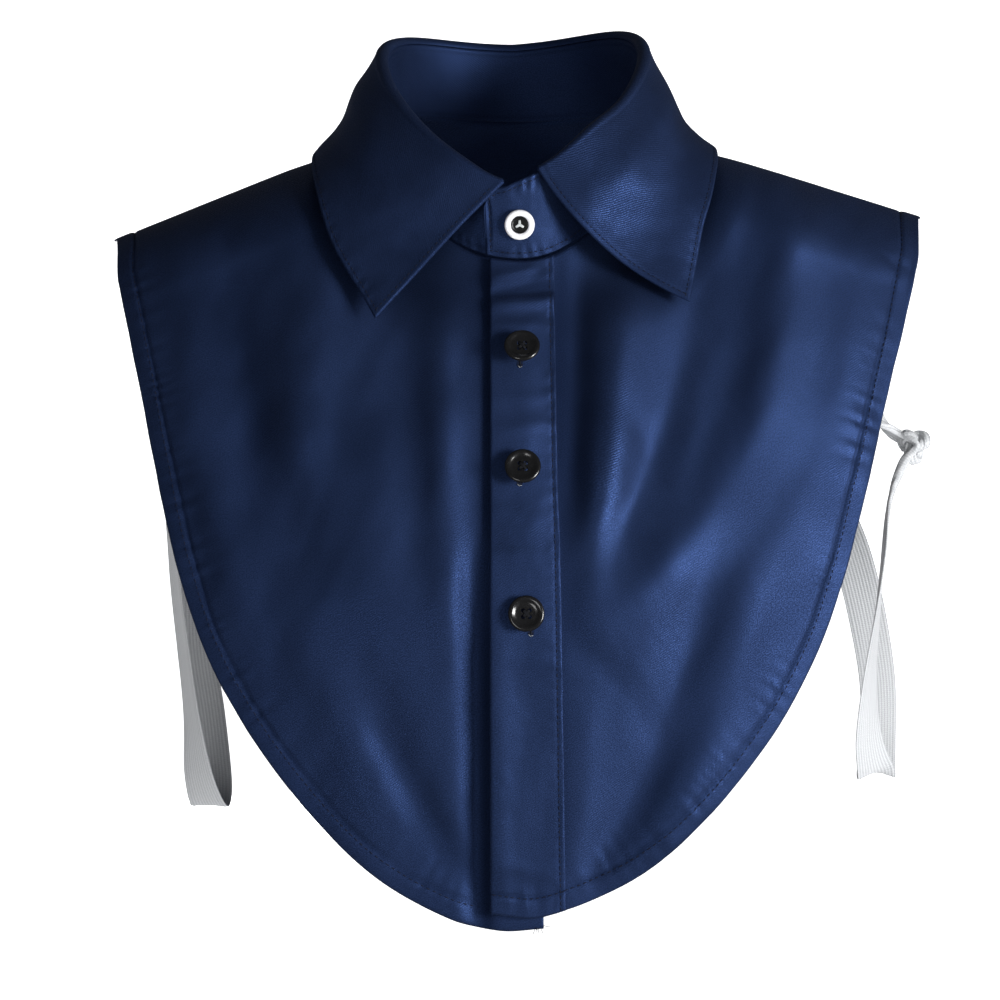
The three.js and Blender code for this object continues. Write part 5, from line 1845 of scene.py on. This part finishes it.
@dataclass
class Studio:
    """The camera, the paper sweep and the lights."""

    distance: float = 1.5
    eye: float = -0.147
    aside: float = -0.0078
    focal: float = 117.39
    floor: float = -0.46
    bend: float = 1.75
    bend_radius: float = 0.6
    top: float = 1.1
    sky_light: float = 0.07
    sky_seen: float = 0.85

    def camera(self) -> None:
        """The camera at the photograph's viewing angle."""
        data = bpy.data.cameras.new("camera")
        data.lens, data.sensor_width = self.focal, 36.0
        data.clip_start, data.clip_end = 0.01, 50
        camera = bpy.data.objects.new("camera", data)
        camera.location = (self.aside, -self.distance, self.eye)
        camera.rotation_euler = (math.radians(90), 0, 0)
        bpy.context.scene.collection.objects.link(camera)
        bpy.context.scene.camera = camera

    def sweep(self, shop: Workshop) -> None:
        """The pale floor that curves up into a backdrop."""
        rows, r = [(-3.0, self.floor), (self.bend, self.floor)], self.bend_radius
        for k in range(1, 13):
            a = math.radians(90 * k / 12)
            rows.append((self.bend + r * math.sin(a), self.floor + r * (1 - math.cos(a))))
        rows.append((self.bend + r, self.top))
        verts = [(x, y, z) for y, z in rows for x in (-4.0, 4.0)]
        faces = [(2 * i, 2 * i + 1, 2 * i + 3, 2 * i + 2) for i in range(len(rows) - 1)]
        piece = link("studio_paper", np.array(verts), faces, metres=True)
        paper = Paper("studio_paper_white", (0.86, 0.865, 0.875, 1.0))
        piece.data.materials.append(shop.palette.get(paper))
        piece.visible_glossy = False

    @staticmethod
    def lamp(name: str, place: Sequence[float], aim: Sequence[float], size: float,
             power: float) -> None:
        """One soft square light aimed at a point."""
        data = bpy.data.lights.new(name, "AREA")
        data.shape, data.size, data.energy = "SQUARE", size, power
        lamp = bpy.data.objects.new(name, data)
        lamp.location = place
        lamp.rotation_euler = (Vector(aim) - Vector(place)).to_track_quat("-Z", "Y").to_euler()
        bpy.context.scene.collection.objects.link(lamp)

    def lights(self) -> None:
        """A key from the image's right, a weaker fill from the front, one from behind and the sky."""
        self.lamp("key", (1.35, -1.2, -0.12), (0.0, -0.05, -0.15), size=0.6, power=39)
        self.lamp("fill", (-0.6, -1.7, -0.42), (0.0, 0.0, -0.22), size=0.6, power=6)
        self.lamp("back", (-0.5, 1.8, -0.34), (0.0, 0.0, -0.2), size=0.8, power=11)
        bpy.context.scene.view_settings.view_transform = "Standard"
        world = bpy.data.worlds.new("soft_sky")
        world.use_nodes = True
        tree = world.node_tree
        sky = tree.nodes["Background"]
        sky.inputs[0].default_value = (0.92, 0.95, 1.0, 1.0)
        seen = tree.nodes.new("ShaderNodeLightPath")
        power = tree.nodes.new("ShaderNodeMapRange")
        power.inputs["To Min"].default_value = self.sky_light
        power.inputs["To Max"].default_value = self.sky_seen
        tree.links.new(seen.outputs["Is Camera Ray"], power.inputs["Value"])
        tree.links.new(power.outputs[0], sky.inputs[1])
        bpy.context.scene.world = world


def main() -> None:
    """Builds every sub-assembly in order and reports its pieces."""
    logging.basicConfig(level=logging.INFO, format="%(name)s: %(message)s")
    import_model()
    shop = Workshop()
    studio = Studio()
    studio.camera()
    studio.sweep(shop)
    studio.lights()
    RIGHT_BIB.build(shop)
    LEFT_BIB.build(shop)
    BackBib().build(shop)
    Placket().build(shop)
    Stand().build(shop)
    Leaf().build(shop)
    Button("placket_button_1", tilt=30.0).build(shop, reach=5.5)
    Button("placket_button_2", tilt=22.0).build(shop, reach=5.0)
    Button("placket_button_3", tilt=7.0).build(shop, reach=3.4)
    CollarButton().build(shop, reach=1.4)
    strip = next(p for p in shop.pieces if p.name == "placket_cloth")
    face = np.empty(len(strip.data.vertices) * 3)
    strip.data.vertices.foreach_get("co", face)
    Buttonholes().build(shop, face.reshape(-1, 3) / MM)
    RIGHT_STRAP.build(shop)
    LEFT_STRAP.build(shop)
    LooseThreads().build(shop, RIGHT_BIB.front[0, -1])
    total = 0
    for piece in shop.pieces:
        piece.data.calc_loop_triangles()
        count = len(piece.data.loop_triangles)
        area = sum(p.area for p in piece.data.polygons) / 2
        total += count
        LOG.info("%s: %d triangles, half its surface %.4f m2", piece.name, count, area)
    LOG.info("in all %d triangles", total)


if __name__ == "__main__":
    main()
